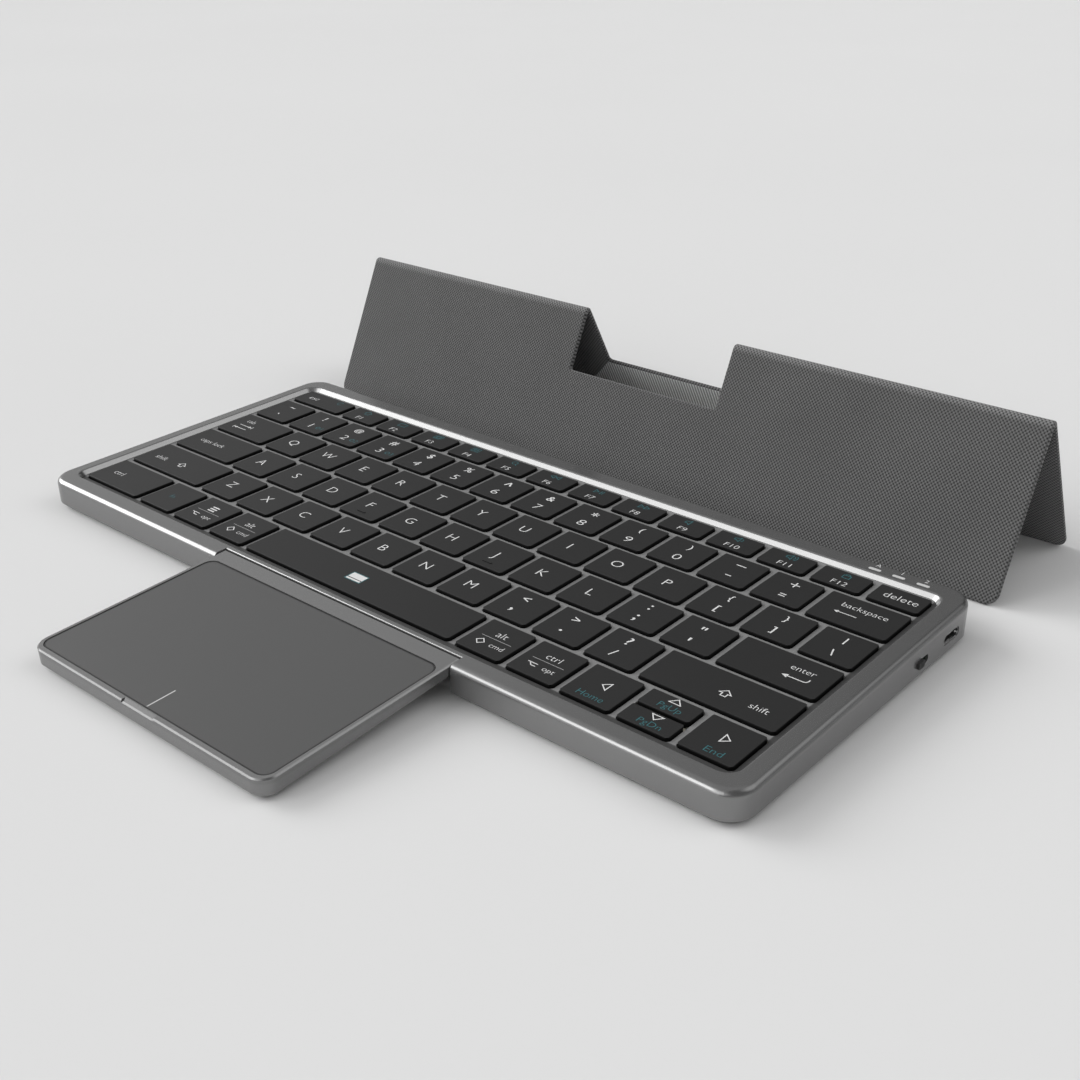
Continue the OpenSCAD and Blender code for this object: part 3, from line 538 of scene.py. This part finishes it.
def letter_mesh(text):
    """Flat outline of a text one unit in size: its points and faces."""
    if text not in FONT_UNIT:
        curve = bpy.data.curves.new("letter", "FONT")
        curve.body = text
        curve.size = 1.0
        curve.resolution_u = 3
        curve.offset = -0.012 if text.isalnum() or len(text) > 1 else 0.006
        thing = bpy.data.objects.new("letter", curve)
        bpy.context.scene.collection.objects.link(thing)
        bpy.context.view_layer.update()
        mesh = bpy.data.meshes.new_from_object(thing)
        FONT_UNIT[text] = ([(v.co.x, v.co.y) for v in mesh.vertices],
                           [tuple(p.vertices) for p in mesh.polygons])
        bpy.data.objects.remove(thing)
        bpy.data.curves.remove(curve)
        bpy.data.meshes.remove(mesh)
    return FONT_UNIT[text]


class Ink:
    """Flat shapes that lie on one sloping plane, collected by body and colour."""

    def __init__(self):
        self.sets = {}

    def add(self, body, colour, points, faces):
        all_points, all_faces = self.sets.setdefault((body, colour), ([], []))
        first = len(all_points)
        all_points.extend(points)
        all_faces.extend(tuple(first + i for i in face) for face in faces)

    def text(self, body, colour, text, x, y, cap, wide=1.0):
        """Text whose capitals are cap high, with its middle at x and its middle line at y."""
        points, faces = letter_mesh(text)
        capital = letter_mesh("H")[0]
        unit = cap / max(p[1] for p in capital)
        shift = (min(p[0] for p in points) + max(p[0] for p in points)) / 2
        low, high = 0.0, max(p[1] for p in capital)
        if len(text) == 1 and not text.isalnum():
            low, high = min(p[1] for p in points), max(p[1] for p in points)
        middle = (low + high) / 2
        moved = [(x + (px - shift) * unit * wide, y + (py - middle) * unit) for px, py in points]
        self.add(body, colour, moved, faces)

    def line(self, body, colour, points, width, closed=False):
        """A stroke of even width through the points, with mitred corners."""
        pts = [Vector(p) for p in points]
        count = len(pts)
        sides = []
        for i, p in enumerate(pts):
            before = pts[i - 1] if closed or i else None
            after = pts[(i + 1) % count] if closed or i < count - 1 else None
            into = (p - before).normalized() if before is not None else None
            away = (after - p).normalized() if after is not None else None
            into, away = into or away, away or into
            normal = Vector((-(into + away).y, (into + away).x)).normalized()
            reach = width / 2 / max(0.4, normal.dot(Vector((-into.y, into.x))))
            sides.append((p + normal * reach, p - normal * reach))
        flat = [tuple(q) for pair in sides for q in pair]
        faces = []
        for i in range(count if closed else count - 1):
            here, after = 2 * i, 2 * ((i + 1) % count)
            faces.append((here, here + 1, after + 1, after))
        self.add(body, colour, flat, faces)

    def fill(self, body, colour, points):
        self.add(body, colour, points, [tuple(range(len(points)))])

    def build(self, prefix, matrix, height, materials):
        """One piece for each body and colour, at that height over the plane of the matrix."""
        up = matrix.to_3x3() @ Vector((0, 0, 1))
        for (body, colour), (points, faces) in sorted(self.sets.items()):
            mesh = bpy.data.meshes.new(f"{prefix}_{colour}_{body}")
            placed_points = [matrix @ Vector((x * MM, y * MM, height * MM)) for x, y in points]
            mesh.from_pydata(placed_points, [], faces)
            mesh.update()
            for face in mesh.polygons:
                if face.normal.dot(up) < 0:
                    face.flip()
            piece = bpy.data.objects.new(mesh.name, mesh)
            bpy.context.scene.collection.objects.link(piece)
            mesh.materials.append(materials[colour])
            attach(piece, body)


def circle_points(x, y, radius, count=16, start=0.0, end=360.0):
    """Points of a circle, or of an arc with a point at each end."""
    full = abs(end - start - 360) < 1
    steps = count if full else count - 1
    turns = [math.radians(start + (end - start) * i / steps) for i in range(count)]
    return [(x + radius * math.cos(turn), y + radius * math.sin(turn)) for turn in turns]


def rectangle_points(x, y, w, h):
    return [(x - w / 2, y - h / 2), (x + w / 2, y - h / 2),
            (x + w / 2, y + h / 2), (x - w / 2, y + h / 2)]


def placed(points, x, y, angle=0.0, size=1.0):
    """The points scaled, turned by the angle and moved by x and y."""
    c, s = math.cos(math.radians(angle)), math.sin(math.radians(angle))
    points = [(px * size, py * size) for px, py in points]
    return [(x + px * c - py * s, y + px * s + py * c) for px, py in points]


def key_left(row, index):
    return FIELD_X + sum(ROWS[row][:index]) * PITCH


def key_width(row, index):
    return ROWS[row][index] * PITCH - GAP_X


def plane(x, y, z, tilt):
    """Matrix of a plane through that point, tilted up to the back."""
    place = Matrix.Translation((x * MM, y * MM, z * MM))
    return place @ Matrix.Rotation(math.radians(tilt), 4, "X")


SINGLE = {
    ("fn", 0): "key_esc", ("fn", 13): "key_delete", ("number", 13): "key_backspace",
    ("q", 0): "key_tab", ("q", 13): "key_backslash", ("a", 0): "key_caps", ("a", 12): "key_enter",
    ("z", 0): "key_shift_left", ("z", 11): "key_shift_right",
    ("bottom", 0): "key_ctrl_left", ("bottom", 1): "key_fn", ("bottom", 2): "key_opt_left",
    ("bottom", 3): "key_cmd_left", ("bottom", 4): "key_space", ("bottom", 5): "key_cmd_right",
    ("bottom", 6): "key_opt_right", ("bottom", 7): "key_arrow_left",
    ("bottom", 9): "key_arrow_right",
}
GROUP = {"fn": "keys_function", "number": "keys_number", "q": "keys_q_row", "a": "keys_a_row",
         "z": "keys_z_row"}


def key_body(row, index):
    return SINGLE.get((row, index)) or GROUP[row]


LETTERS = {"q": "QWERTYUIOP", "a": "ASDFGHJKL", "z": "ZXCVBNM"}
# Upper and lower sign of each key with two, and the first such key of each row
PAIRS = {
    "number": [("~", "`"), ("!", "1"), ("@", "2"), ("#", "3"), ("$", "4"), ("%", "5"), ("^", "6"),
               ("&", "7"), ("*", "8"), ("(", "9"), (")", "0"), ("_", "-"), ("+", "=")],
    "q": [("{", "["), ("}", "]"), ("|", "\\")],
    "a": [(":", ";"), ('"', "'")],
    "z": [("<", ","), (">", "."), ("?", "/")],
}
PAIR_START = {"number": 0, "q": 11, "a": 10, "z": 8}
# How far right of the key's middle they stand, and the drift from key to key in the number row
PAIR_SHIFT = {"number": -0.25, "q": 0.05, "a": -0.8, "z": -1.1}
PAIR_DRIFT = 0.06
# Heights of capitals, and depths of the lines below the back of the row
LETTER_CAP, LETTER_Y, LETTER_SHIFT, LETTER_WIDE = 3.55, 8.1, -1.05, 1.05
UPPER_CAP, UPPER_Y = 3.0, 4.45
LOWER_CAP, LOWER_Y = 3.4, 11.55
DIGIT_WIDE, SIGN_WIDE = 1.28, 1.1
# F1 to F12: their shift and its drift from key to key, the name's place and size, the icon's place
FN_SHIFT, FN_DRIFT = -0.7, 0.115
FN_NAME_Y, FN_NAME_CAP, FN_NAME_WIDE = 7.4, 2.25, 1.12
FN_ICON_Y = 2.6
# Small numbers with a ring beside them: their shift, depth, height of digits and the ring's radius
RINGED_SHIFT, RINGED_Y, RINGED_CAP, RING_RADIUS = 4.9, LOWER_Y + 0.3, 2.0, 0.85
# Marks in front of the lamps: how far from the back edge, and the height of capitals
LAMP_MARK_Y, LAMP_MARK_CAP = 2.4, 1.7
# Signs that are larger or smaller than the capitals, and signs made of strokes
SIGN_SIZE = {
    "?": 1.2, ",": 1.35, ".": 1.3, "/": 0.92, "\\": 0.9, "{": 0.85, "}": 0.85, "[": 0.82,
    "]": 0.82, "(": 0.86, ")": 0.86, ":": 1.25, ";": 1.25, '"': 1.25, "'": 1.3, "`": 1.1,
    "*": 1.3, "#": 1.05, "^": 1.4, "@": 0.8,
}
SIGN_STROKES = {
    "_": [((-1.7, 0), (1.7, 0))],
    "-": [((-1.0, 0), (1.0, 0))],
    "+": [((-1.5, 0), (1.5, 0)), ((0, -1.5), (0, 1.5))],
    "=": [((-1.05, 0.55), (1.05, 0.55)), ((-1.05, -0.55), (1.05, -0.55))],
    "|": [((0, -1.8), (0, 1.8))],
}
# Widths of strokes
STROKE = 0.3
SIGN_STROKE = 0.42
ENTER_STROKE = 0.34
ICON_STROKE = 0.24
BAR_STROKE = 0.6
RULE_STROKE = 0.2
# Height of the flat legends over the surface they lie on
INK_RISE = 0.02


def shift_arrow(ink, body, x, y, size=1.0):
    outline = [(0, 1.5), (1.7, -0.1), (0.75, -0.1), (0.75, -1.3), (-0.75, -1.3), (-0.75, -0.1),
               (-1.7, -0.1)]
    ink.line(body, "white", placed(outline, x, y, size=size), STROKE, closed=True)


def arrow_head(ink, body, x, y, angle, size=0.9):
    tip = [(1, 0), (-0.6, 0.8), (-0.6, -0.8)]
    ink.fill(body, "white", placed(tip, x, y, angle, size))


def hollow_arrow(ink, body, x, y, angle, long=2.1, wide=3.5):
    tip = [(long / 2, 0), (-long / 2, wide / 2), (-long / 2, -wide / 2)]
    ink.line(body, "white", placed(tip, x, y, angle), STROKE, closed=True)


def function_icon(ink, body, index, x, y, size=1.4):
    """Plain teal icons above F1 to F12: home, windows, search, player, sound and a lock."""
    def draw(points, closed=False):
        ink.line(body, "teal", placed(points, x, y, size=size), ICON_STROKE, closed=closed)

    def box(w, h, dx=0.0, dy=0.0):
        draw(rectangle_points(dx, dy, w, h), True)

    if index == 1:
        draw([(-1.1, 0), (0, 1.0), (1.1, 0), (0.7, 0), (0.7, -0.9), (-0.7, -0.9), (-0.7, 0)], True)
    elif index == 2:
        box(2.4, 1.6)
    elif index == 3:
        box(1.9, 1.3, -0.3, -0.2)
        box(1.9, 1.3, 0.3, 0.25)
    elif index == 4:
        box(2.4, 1.7)
        box(1.1, 0.7)
    elif index == 5:
        draw(circle_points(-0.2, 0.2, 0.75, 14), True)
        draw([(0.35, -0.35), (1.0, -1.0)])
    elif index in (6, 8):
        way = -1 if index == 6 else 1
        for dx in (-0.8, 0.8):
            back = dx - way * 0.45
            draw([(dx + way * 0.75, 0), (back, 0.75), (back, -0.75)], True)
    elif index == 7:
        draw([(0, 0), (-1.2, 0.75), (-1.2, -0.75)], True)
        for dx in (0.6, 1.2):
            draw([(dx, -0.8), (dx, 0.8)])
    elif index in (9, 10, 11):
        horn = [(-1.4, 0.4), (-0.8, 0.4), (-0.1, 1.0), (-0.1, -1.0), (-0.8, -0.4), (-1.4, -0.4)]
        draw(horn, True)
        for wave in range(index - 9):
            draw(circle_points(-0.1, 0, 0.75 + 0.55 * wave, 7, -50, 50))
    elif index == 12:
        box(1.7, 1.2, 0, -0.4)
        draw(circle_points(0, 0.2, 0.55, 9, 0, 180))


# Keys with two lines of legend: the signs, and the heights from the back of the row
DIAMOND = [[(0, 1.4), (1.4, 0), (0, -1.4), (-1.4, 0)]]
BRANCH = [[(-1.7, 0.6), (1.7, 0.6)], [(-0.9, 0.6), (0.2, -0.6), (1.7, -0.6)]]
UPPER_WORD_Y, RULE_Y, LOWER_WORD_Y = -5.6, -8.25, -11.1
BAR_Y = -4.6, -5.8, -7.0
LOWER_WORD_CAP = 1.95


def two_level(ink, body, x, upper, upper_cap, lower, sign):
    """A word, or three bars, over a line, and a plain sign with a word under it.
    sign is a closed or an open list of strokes."""
    if upper:
        ink.text(body, "white", upper, x + 0.4, UPPER_WORD_Y, upper_cap)
    else:
        for bar_y in BAR_Y:
            ink.line(body, "white", [(x - 1.6, bar_y), (x + 1.6, bar_y)], BAR_STROKE)
    ink.line(body, "dim", [(x - 4.9, RULE_Y), (x + 5.7, RULE_Y)], RULE_STROKE)
    for stroke in sign:
        points = placed(stroke, x - 2.9, LOWER_WORD_Y)
        ink.line(body, "white", points, STROKE, closed=len(stroke) > 3)
    ink.text(body, "white", lower, x + 3.0, LOWER_WORD_Y, LOWER_WORD_CAP)


def key_middle(row, index):
    return key_left(row, index) + key_width(row, index) / 2


def word(ink, body, text, row, x, y, cap, colour="white", wide=1.0):
    """Word with its middle x from the key field's left side and y below the back of its row."""
    ink.text(body, colour, text, FIELD_X + x, ROW_BACK[row] - y, cap, wide=wide)


def add_letters(ink):
    for row, letters in LETTERS.items():
        y = ROW_BACK[row] - LETTER_Y
        for index, letter in enumerate(letters, 1):
            x = key_middle(row, index) + LETTER_SHIFT
            ink.text(key_body(row, index), "white", letter, x, y, LETTER_CAP, wide=LETTER_WIDE)


def add_signs(ink):
    """Signs and digits, and the small ringed numbers on the keys 1 to 3."""
    def sign(body, text, x, y, cap):
        for stroke in SIGN_STROKES.get(text, ()):
            ink.line(body, "white", placed(stroke, x, y), SIGN_STROKE)
        if text not in SIGN_STROKES:
            wide = DIGIT_WIDE if text.isdigit() else SIGN_WIDE
            ink.text(body, "white", text, x, y, cap * SIGN_SIZE.get(text, 1.0), wide=wide)

    for row, pairs in PAIRS.items():
        for k, (upper, lower) in enumerate(pairs):
            index = PAIR_START[row] + k
            body = key_body(row, index)
            x = key_middle(row, index) + PAIR_SHIFT[row]
            if row == "number":
                x += PAIR_DRIFT * index
            sign(body, upper, x, ROW_BACK[row] - UPPER_Y, UPPER_CAP)
            sign(body, lower, x, ROW_BACK[row] - LOWER_Y, LOWER_CAP)
    for index in (1, 2, 3):
        x = key_middle("number", index) + RINGED_SHIFT
        y = ROW_BACK["number"] - RINGED_Y
        ring = circle_points(x - 0.9, y, RING_RADIUS, 14)
        ink.line("keys_number", "teal", ring, ICON_STROKE, closed=True)
        ink.text("keys_number", "teal", str(index), x + 1.1, y, RINGED_CAP)


def add_function_row(ink):
    """Names and icons of F1 to F12, esc with an open ring, and delete."""
    back = ROW_BACK["fn"]
    for index in range(1, 13):
        x = key_middle("fn", index) + FN_SHIFT + FN_DRIFT * (index - 1)
        ink.text("keys_function", "white", f"F{index}", x, back - FN_NAME_Y, FN_NAME_CAP,
                 wide=FN_NAME_WIDE)
        function_icon(ink, "keys_function", index, x, back - FN_ICON_Y)
    word(ink, "key_esc", "esc", "fn", 6.95, 4.7, 2.55)
    open_ring = circle_points(FIELD_X + 19.1, back - 2.5, 1.15, 16, 40, 320)
    ink.line("key_esc", "teal", open_ring, ICON_STROKE)
    word(ink, "key_delete", "delete", "fn", 257.1, 4.9, 2.95)


def add_left_keys(ink):
    """Words and arrows of the wide keys at the left ends of the rows."""
    word(ink, "key_tab", "tab", "q", 7.0, 5.0, 2.25)
    for turn, y in ((0, 8.95), (180, 11.45)):
        x, y = FIELD_X + 4.5, ROW_BACK["q"] - y
        ink.line("key_tab", "white", [(x + 0.6, y), (x + 6.6, y)], STROKE)
        arrow_head(ink, "key_tab", x + (6.0 if turn == 0 else 1.2), y, turn)
        stop = x + (7.2 if turn == 0 else 0.0)
        ink.line("key_tab", "white", [(stop, y - 0.9), (stop, y + 0.9)], STROKE)
    word(ink, "key_caps", "caps lock", "a", 11.7, 8.2, 2.25)
    word(ink, "key_shift_left", "shift", "z", 8.3, 9.3, 2.3)
    shift_arrow(ink, "key_shift_left", FIELD_X + 19.2, ROW_BACK["z"] - 9.0)


def add_bottom_row(ink):
    """Legends of the keys beside the space bar."""
    word(ink, "key_ctrl_left", "ctrl", "bottom", 8.0, 8.2, 2.4)
    word(ink, "key_fn", "fn", "bottom", 37.9, 8.05, 2.15, "teal")
    for index, upper, cap, lower, mark in (
            (2, None, 0, "opt", BRANCH), (3, "alt", 2.65, "cmd", DIAMOND),
            (5, "alt", 2.65, "cmd", DIAMOND), (6, "ctrl", 2.5, "opt", BRANCH)):
        body = SINGLE[("bottom", index)]
        two_level(ink, body, key_middle("bottom", index), upper, cap, lower, mark)


def add_right_keys(ink):
    """Words and arrows of the wide keys at the right ends of the rows."""
    word(ink, "key_backspace", "backspace", "number", 252.7, 5.3, 2.4)
    x, y = FIELD_X + 245.3, ROW_BACK["number"] - 9.9
    ink.line("key_backspace", "white", [(x + 1.0, y), (x + 7.1, y)], STROKE)
    arrow_head(ink, "key_backspace", x + 0.9, y, 180, 0.85)
    word(ink, "key_enter", "enter", "a", 255.5, 5.8, 2.3)
    x, y = FIELD_X + 251.7, ROW_BACK["a"] - 10.55
    bend = [(1.2, 0), (6.4, 0), (7.1, 0.25), (7.4, 1.0), (7.4, 1.8)]
    ink.line("key_enter", "white", placed(bend, x, y), ENTER_STROKE)
    arrow_head(ink, "key_enter", x + 1.0, y, 180, 1.1)
    shift_arrow(ink, "key_shift_right", FIELD_X + 245.65, ROW_BACK["z"] - 9.15, 1.05)
    word(ink, "key_shift_right", "shift", "z", 256.1, 9.6, 2.3)


def add_arrow_keys(ink):
    """Hollow arrows, each with the key's second meaning under it."""
    hollow_arrow(ink, "key_arrow_left", key_middle("bottom", 7) + 0.5, -7.25, 180)
    word(ink, "key_arrow_left", "Home", "bottom", 219.8, 13.25, 2.3, "teal")
    hollow_arrow(ink, "key_arrow_right", key_middle("bottom", 9) + 0.7, -7.25, 0)
    word(ink, "key_arrow_right", "End", "bottom", 257.5, 13.25, 2.3, "teal", 1.12)
    hollow_arrow(ink, "key_arrow_up", key_middle("bottom", 8) + 0.45, -1.65, 90)
    word(ink, "key_arrow_up", "PgUp", "bottom", 238.6, 4.9, 2.15, "teal", 1.08)
    low_y = -ARROW_D - ARROW_GAP - 2.0
    hollow_arrow(ink, "key_arrow_down", key_middle("bottom", 8) + 0.55, low_y, -90)
    word(ink, "key_arrow_down", "PgDn", "bottom", 238.8, 13.7, 2.15, "teal", 1.08)


def add_space_tile(ink):
    """Plain white tile in two parts, with a teal outline."""
    tile_x, tile_y = -5.0, -8.0
    for low, high in ((-1.85, -1.1), (-0.75, 1.85)):
        block = [(-2.9, low), (2.9, low), (2.9, high), (-2.9, high)]
        ink.fill("key_space", "white", placed(block, tile_x, tile_y))
    outline = rectangle_points(tile_x, tile_y, 6.2, 4.1)
    ink.line("key_space", "teal", outline, STROKE, closed=True)


# The touchpad's line: its x, how far behind the front rim it starts and ends, and its width
PAD_MARK_X = 1.0
PAD_MARK_START, PAD_MARK_END = 0.7, 9.6
PAD_MARK_STROKE = 0.4
# The dark joint round the touch surface: its middle line past the gap, and its width
JOINT_IN = 0.18
JOINT_STROKE = 0.26


def joint_line():
    """Rounded rectangle just inside the gap round the touch surface."""
    r = SURFACE_R
    side = PAD_W / 2 - RIM_SIDE - SURFACE_GAP - JOINT_IN - r
    back = -RIM_BACK - SURFACE_GAP - JOINT_IN - r
    front = -PAD_D + RIM_FRONT + SURFACE_GAP + JOINT_IN + r
    corners = (side, back), (-side, back), (-side, front), (side, front)
    return [point for k, (x, y) in enumerate(corners)
            for point in circle_points(x, y, r, 8, 90 * k, 90 * k + 90)]


def make_legends():
    """Legends of the keys, marks over the lamps, and the lines on the touchpad."""
    ink = Ink()
    add_letters(ink)
    add_signs(ink)
    add_function_row(ink)
    add_left_keys(ink)
    add_bottom_row(ink)
    add_right_keys(ink)
    add_arrow_keys(ink)
    add_space_tile(ink)
    deck = plane(0, DECK_Y, DECK_Z, DECK_TILT)
    ink.build("legend", deck, INK_RISE, INKS)

    marks = Ink()
    for k, text in enumerate(("2", "1", "A")):
        x = BODY_W / 2 - LAMP_RIGHT - LAMP_STEP * k
        marks.text("keyboard", "white", text, x, BODY_BACK - LAMP_MARK_Y, LAMP_MARK_CAP)
    marks.build("lamp_mark", deck, BEZEL_RISE + INK_RISE, INKS)

    pad = Ink()
    front = -PAD_D + RIM_FRONT
    mark = [(PAD_MARK_X, front + PAD_MARK_START), (PAD_MARK_X, front + PAD_MARK_END)]
    pad.line("touch_plate", "pale", mark, PAD_MARK_STROKE)
    pad.line("touch_plate", "black", joint_line(), JOINT_STROKE, closed=True)
    pad_plane = plane(PAD_X, PAD_BACK_Y, PAD_BACK_Z, PAD_TILT)
    pad.build("pad_mark", pad_plane, INK_RISE - SURFACE_DROP, INKS)


# ---- Cover ----------------------------------------------------------------------------------

# Steps round the fold, and points of a rounded corner
ARC_STEPS = 14
CORNER_POINTS = 7
# How far the lining starts inside the cloth's edge, and its rows: how much further in each one
# is, and its height over the cloth's inner face
LINING_IN = 0.5
LINING_ROWS = (0, 0.02), (0, -0.1), (0.15, -0.14)
NOTCH_CORNER = 1.0
LEAST_CORNER = 0.5
# Height of the cloth's inner face over the line that the fold turns about
CLOTH_INNER = 0.2
# Radii of the cloth's outer and inner edge
EDGE_OUTER, EDGE_INNER = 0.75, 0.45


def bent(x, q, t):
    """Point of the cover: x along the fold, t outwards, and q from the front panel (negative)
    round the fold and down the back panel."""
    f, b = math.radians(FRONT_SLOPE), math.radians(BACK_SLOPE)
    if q < 0:
        y, z = q * math.cos(f) - t * math.sin(f), q * math.sin(f) + t * math.cos(f)
    elif q <= ARC:
        a = -f + q / ARC * (f + b)
        y, z = t * math.sin(a), t * math.cos(a)
    else:
        s = q - ARC
        y, z = s * math.cos(b) + t * math.sin(b), -s * math.sin(b) + t * math.cos(b)
    return Vector((x, FOLD_Y + y, FOLD_Z + z)) * MM


def corner(x, y, radius, start):
    """Quarter circle from the angle start."""
    return circle_points(x, y, radius, CORNER_POINTS, start, start + 90)


def sheet_loop(left, right, low, high, radius):
    """Rounded rectangle in x and q, with a point on both sides at each step of the fold.
    Returns the points, and where its front edge, right side and back edge start."""
    steps = [ARC * k / ARC_STEPS for k in range(ARC_STEPS + 1)]
    down = [(left, q) for q in reversed(steps)]
    front = (corner(left + radius, low + radius, radius, 180)
             + corner(right - radius, low + radius, radius, 270))
    up = [(right, q) for q in steps]
    back = (corner(right - radius, high - radius, radius, 0)
            + corner(left + radius, high - radius, radius, 90))
    a, b, c = len(down), len(down) + len(front), len(down) + len(front) + len(up)
    return down + front + up + back, (a, b, c)


def sheet_face(ring, flip):
    """Faces that close one side of a sheet: front panel, back panel, and strips at the fold."""
    o, n, h, m, (a, b, c), (ha, hb, hc) = ring
    front_outer = [o + i for i in range(a - 1, b + 1)]
    front_hole = [h + i for i in range(ha - 1, hb + 1)]
    back_outer = [o + i for i in range(c - 1, n)] + [o]
    back_hole = [h + i for i in range(hc - 1, m)] + [h]
    made = [tuple(front_outer + front_hole[::-1]), tuple(back_outer + back_hole[::-1])]
    for k in range(ARC_STEPS):
        made.append((o + k, o + k + 1, h + k + 1, h + k))
        made.append((o + b + k, o + b + k + 1, h + hb + k + 1, h + hb + k))
    return [face[::-1] if flip else face for face in made]


def make_sheet(name, material, rows):
    """Folded sheet with a notch through its fold.
    rows are (inset from the edge, height) from the outer face to the inner one."""
    left, right = STAND_X - STAND_W / 2, STAND_X + STAND_W / 2
    notch_l, notch_r = STAND_X - NOTCH_W / 2, STAND_X + NOTCH_W / 2
    points, faces, uvs, rings = [], [], [], []
    for d, t in rows:
        outer, marks = sheet_loop(left + d, right - d, -FRONT_LEN + d, ARC + BACK_LEN - d,
                                  PANEL_R - min(d, PANEL_R - LEAST_CORNER))
        hole, hole_marks = sheet_loop(notch_l - d, notch_r + d, -NOTCH_FRONT - d,
                                      ARC + NOTCH_BACK + d, NOTCH_CORNER + d)
        start = len(points)
        for x, q in outer + hole:
            points.append(bent(x, q, t))
            uvs.append((x, q))
        rings.append((start, len(outer), start + len(outer), len(hole), marks, hole_marks))
    for (o1, n, h1, m, _, _), (o2, _, h2, _, _, _) in zip(rings, rings[1:]):
        faces += [(o1 + i, o2 + i, o2 + (i + 1) % n, o1 + (i + 1) % n) for i in range(n)]
        faces += [(h1 + i, h1 + (i + 1) % m, h2 + (i + 1) % m, h2 + i) for i in range(m)]
    faces += sheet_face(rings[0], False) + sheet_face(rings[-1], True)

    mesh = bpy.data.meshes.new(name)
    mesh.from_pydata(points, [], faces)
    layer = mesh.uv_layers.new(name="UVMap")
    for loop in mesh.loops:
        layer.data[loop.index].uv = uvs[loop.vertex_index]
    work = bmesh.new()
    work.from_mesh(mesh)
    bmesh.ops.recalc_face_normals(work, faces=work.faces)
    work.to_mesh(mesh)
    work.free()
    mesh.shade_smooth()
    mesh.materials.append(material)
    piece = bpy.data.objects.new(name, mesh)
    bpy.context.scene.collection.objects.link(piece)
    even = piece.modifiers.new("even_normals", "WEIGHTED_NORMAL")
    even.mode = "FACE_AREA"
    even.weight = 100
    return piece


def round_edge(top, radius, outward=True, steps=4):
    """(inset, height) steps of a quarter round from a face at the height top to the edge."""
    rows = []
    sign = 1 if outward else -1
    for k in range(steps + 1):
        a = math.radians(90 * k / steps)
        rows.append((radius * (1 - math.sin(a)), top - sign * radius * (1 - math.cos(a))))
    return rows


def make_cover():
    """The cover's cloth and its lining, each as one sheet that bends across the fold."""
    inner_edge = round_edge(CLOTH_INNER, EDGE_INNER, outward=False)[::-1]
    rows = round_edge(FOLD_R, EDGE_OUTER) + inner_edge
    # the cloth gets a painted highlight along the fold
    cloth = make_sheet("cover_cloth", woven("cloth_grey", 0.076, fold_highlight=True), rows)
    rows = [(LINING_IN + inset, CLOTH_INNER + height) for inset, height in LINING_ROWS]
    # the lining gets a painted pool of light below the notch
    lining = make_sheet("cover_lining", woven("lining_dark", 0.102, notch_light_gain=4.2), rows)
    for piece, cut, nodes in ((cloth, 0.0, ("front_cloth", "back_cloth", "fold_bead")),
                              (lining, LINING_IN, ("front_lining", "back_lining"))):
        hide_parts(*nodes)
        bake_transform(piece)


# ---- Make it --------------------------------------------------------------------------------

place_camera()
make_floor()
make_world()

LOOKS = {
    # right paints a shade on the body's outer chamfer on the right
    "body_metal": metal("body_gunmetal", 0.235, 0.24, right=0.13, metallic=0.75),
    # edge, slope and top paint light and shade on the rim by the tilt of its faces
    "rim_metal": metal("rim_gunmetal", 0.21, 0.26, edge=0.16, slope=0.055, top=0.26, metallic=0.75),
    "cover_metal": metal("cover_gunmetal", 0.14, 0.35),
    "web_plastic": web(),
    "key_plastic": keycap(),
    "knob_plastic": plastic("knob_black", grey(0.02), 0.5),
    "touch_surface": plastic("touch_grey", grey(0.069), 0.42, spread=0.02, grain=0.003),
    "film": plastic("film_cream", (0.6, 0.58, 0.48), 0.4),
    "dome_rubber": plastic("dome_white", grey(0.65), 0.6),
    "foot_rubber": plastic("foot_black", grey(0.015), 0.8, grain=0.03, grain_scale=2500),
    "steel": metal("steel_bright", 0.55, 0.22, metallic=1.0),
    "screw_steel": metal("steel_black", 0.05, 0.3, metallic=1.0),
    "circuit_board": circuit("board_green"),
    "battery_wrap": plastic("battery_silver", grey(0.35), 0.3),
    "switch_green": plastic("switch_green", (0.03, 0.38, 0.09), 0.35),
    "lamp_lens": plastic("lens_milky", grey(0.5), 0.35, spread=0.02),
    "outer_cloth": woven("cloth_plain", 0.078),
    # a lighter copy of the cloth for the fold, a painted highlight
    "fold_cloth": woven("cloth_fold", 0.1),
    "lining_cloth": woven("cloth_lining", 0.085),
    "fibre_board": plastic("fibre_board", (0.32, 0.26, 0.17), 0.85, grain=0.05, grain_scale=900),
    "magnet": metal("magnet_nickel", 0.6, 0.25, metallic=1.0),
}
INKS = {
    "white": plastic("ink_white", grey(0.62), 0.5, spread=0.02),
    "teal": plastic("ink_teal", (0.028, 0.125, 0.14), 0.5, spread=0.02),
    "dim": plastic("ink_dim", grey(0.3), 0.5, spread=0.02),
    "pale": plastic("ink_pale", grey(0.5), 0.5, spread=0.02),
    "black": plastic("ink_black", grey(0.012), 0.6, spread=0.02),
}

SLOTS = {part["node"]: part["material_slot"] for part in frame["record"]["subparts"]}
for name, node in frame["nodes"].items():
    node.data.materials.clear()
    node.data.materials.append(LOOKS[SLOTS[name]])

make_legends()
make_cover()

scene = bpy.context.scene
scene.view_settings.view_transform = "Standard"
bpy.context.view_layer.update()
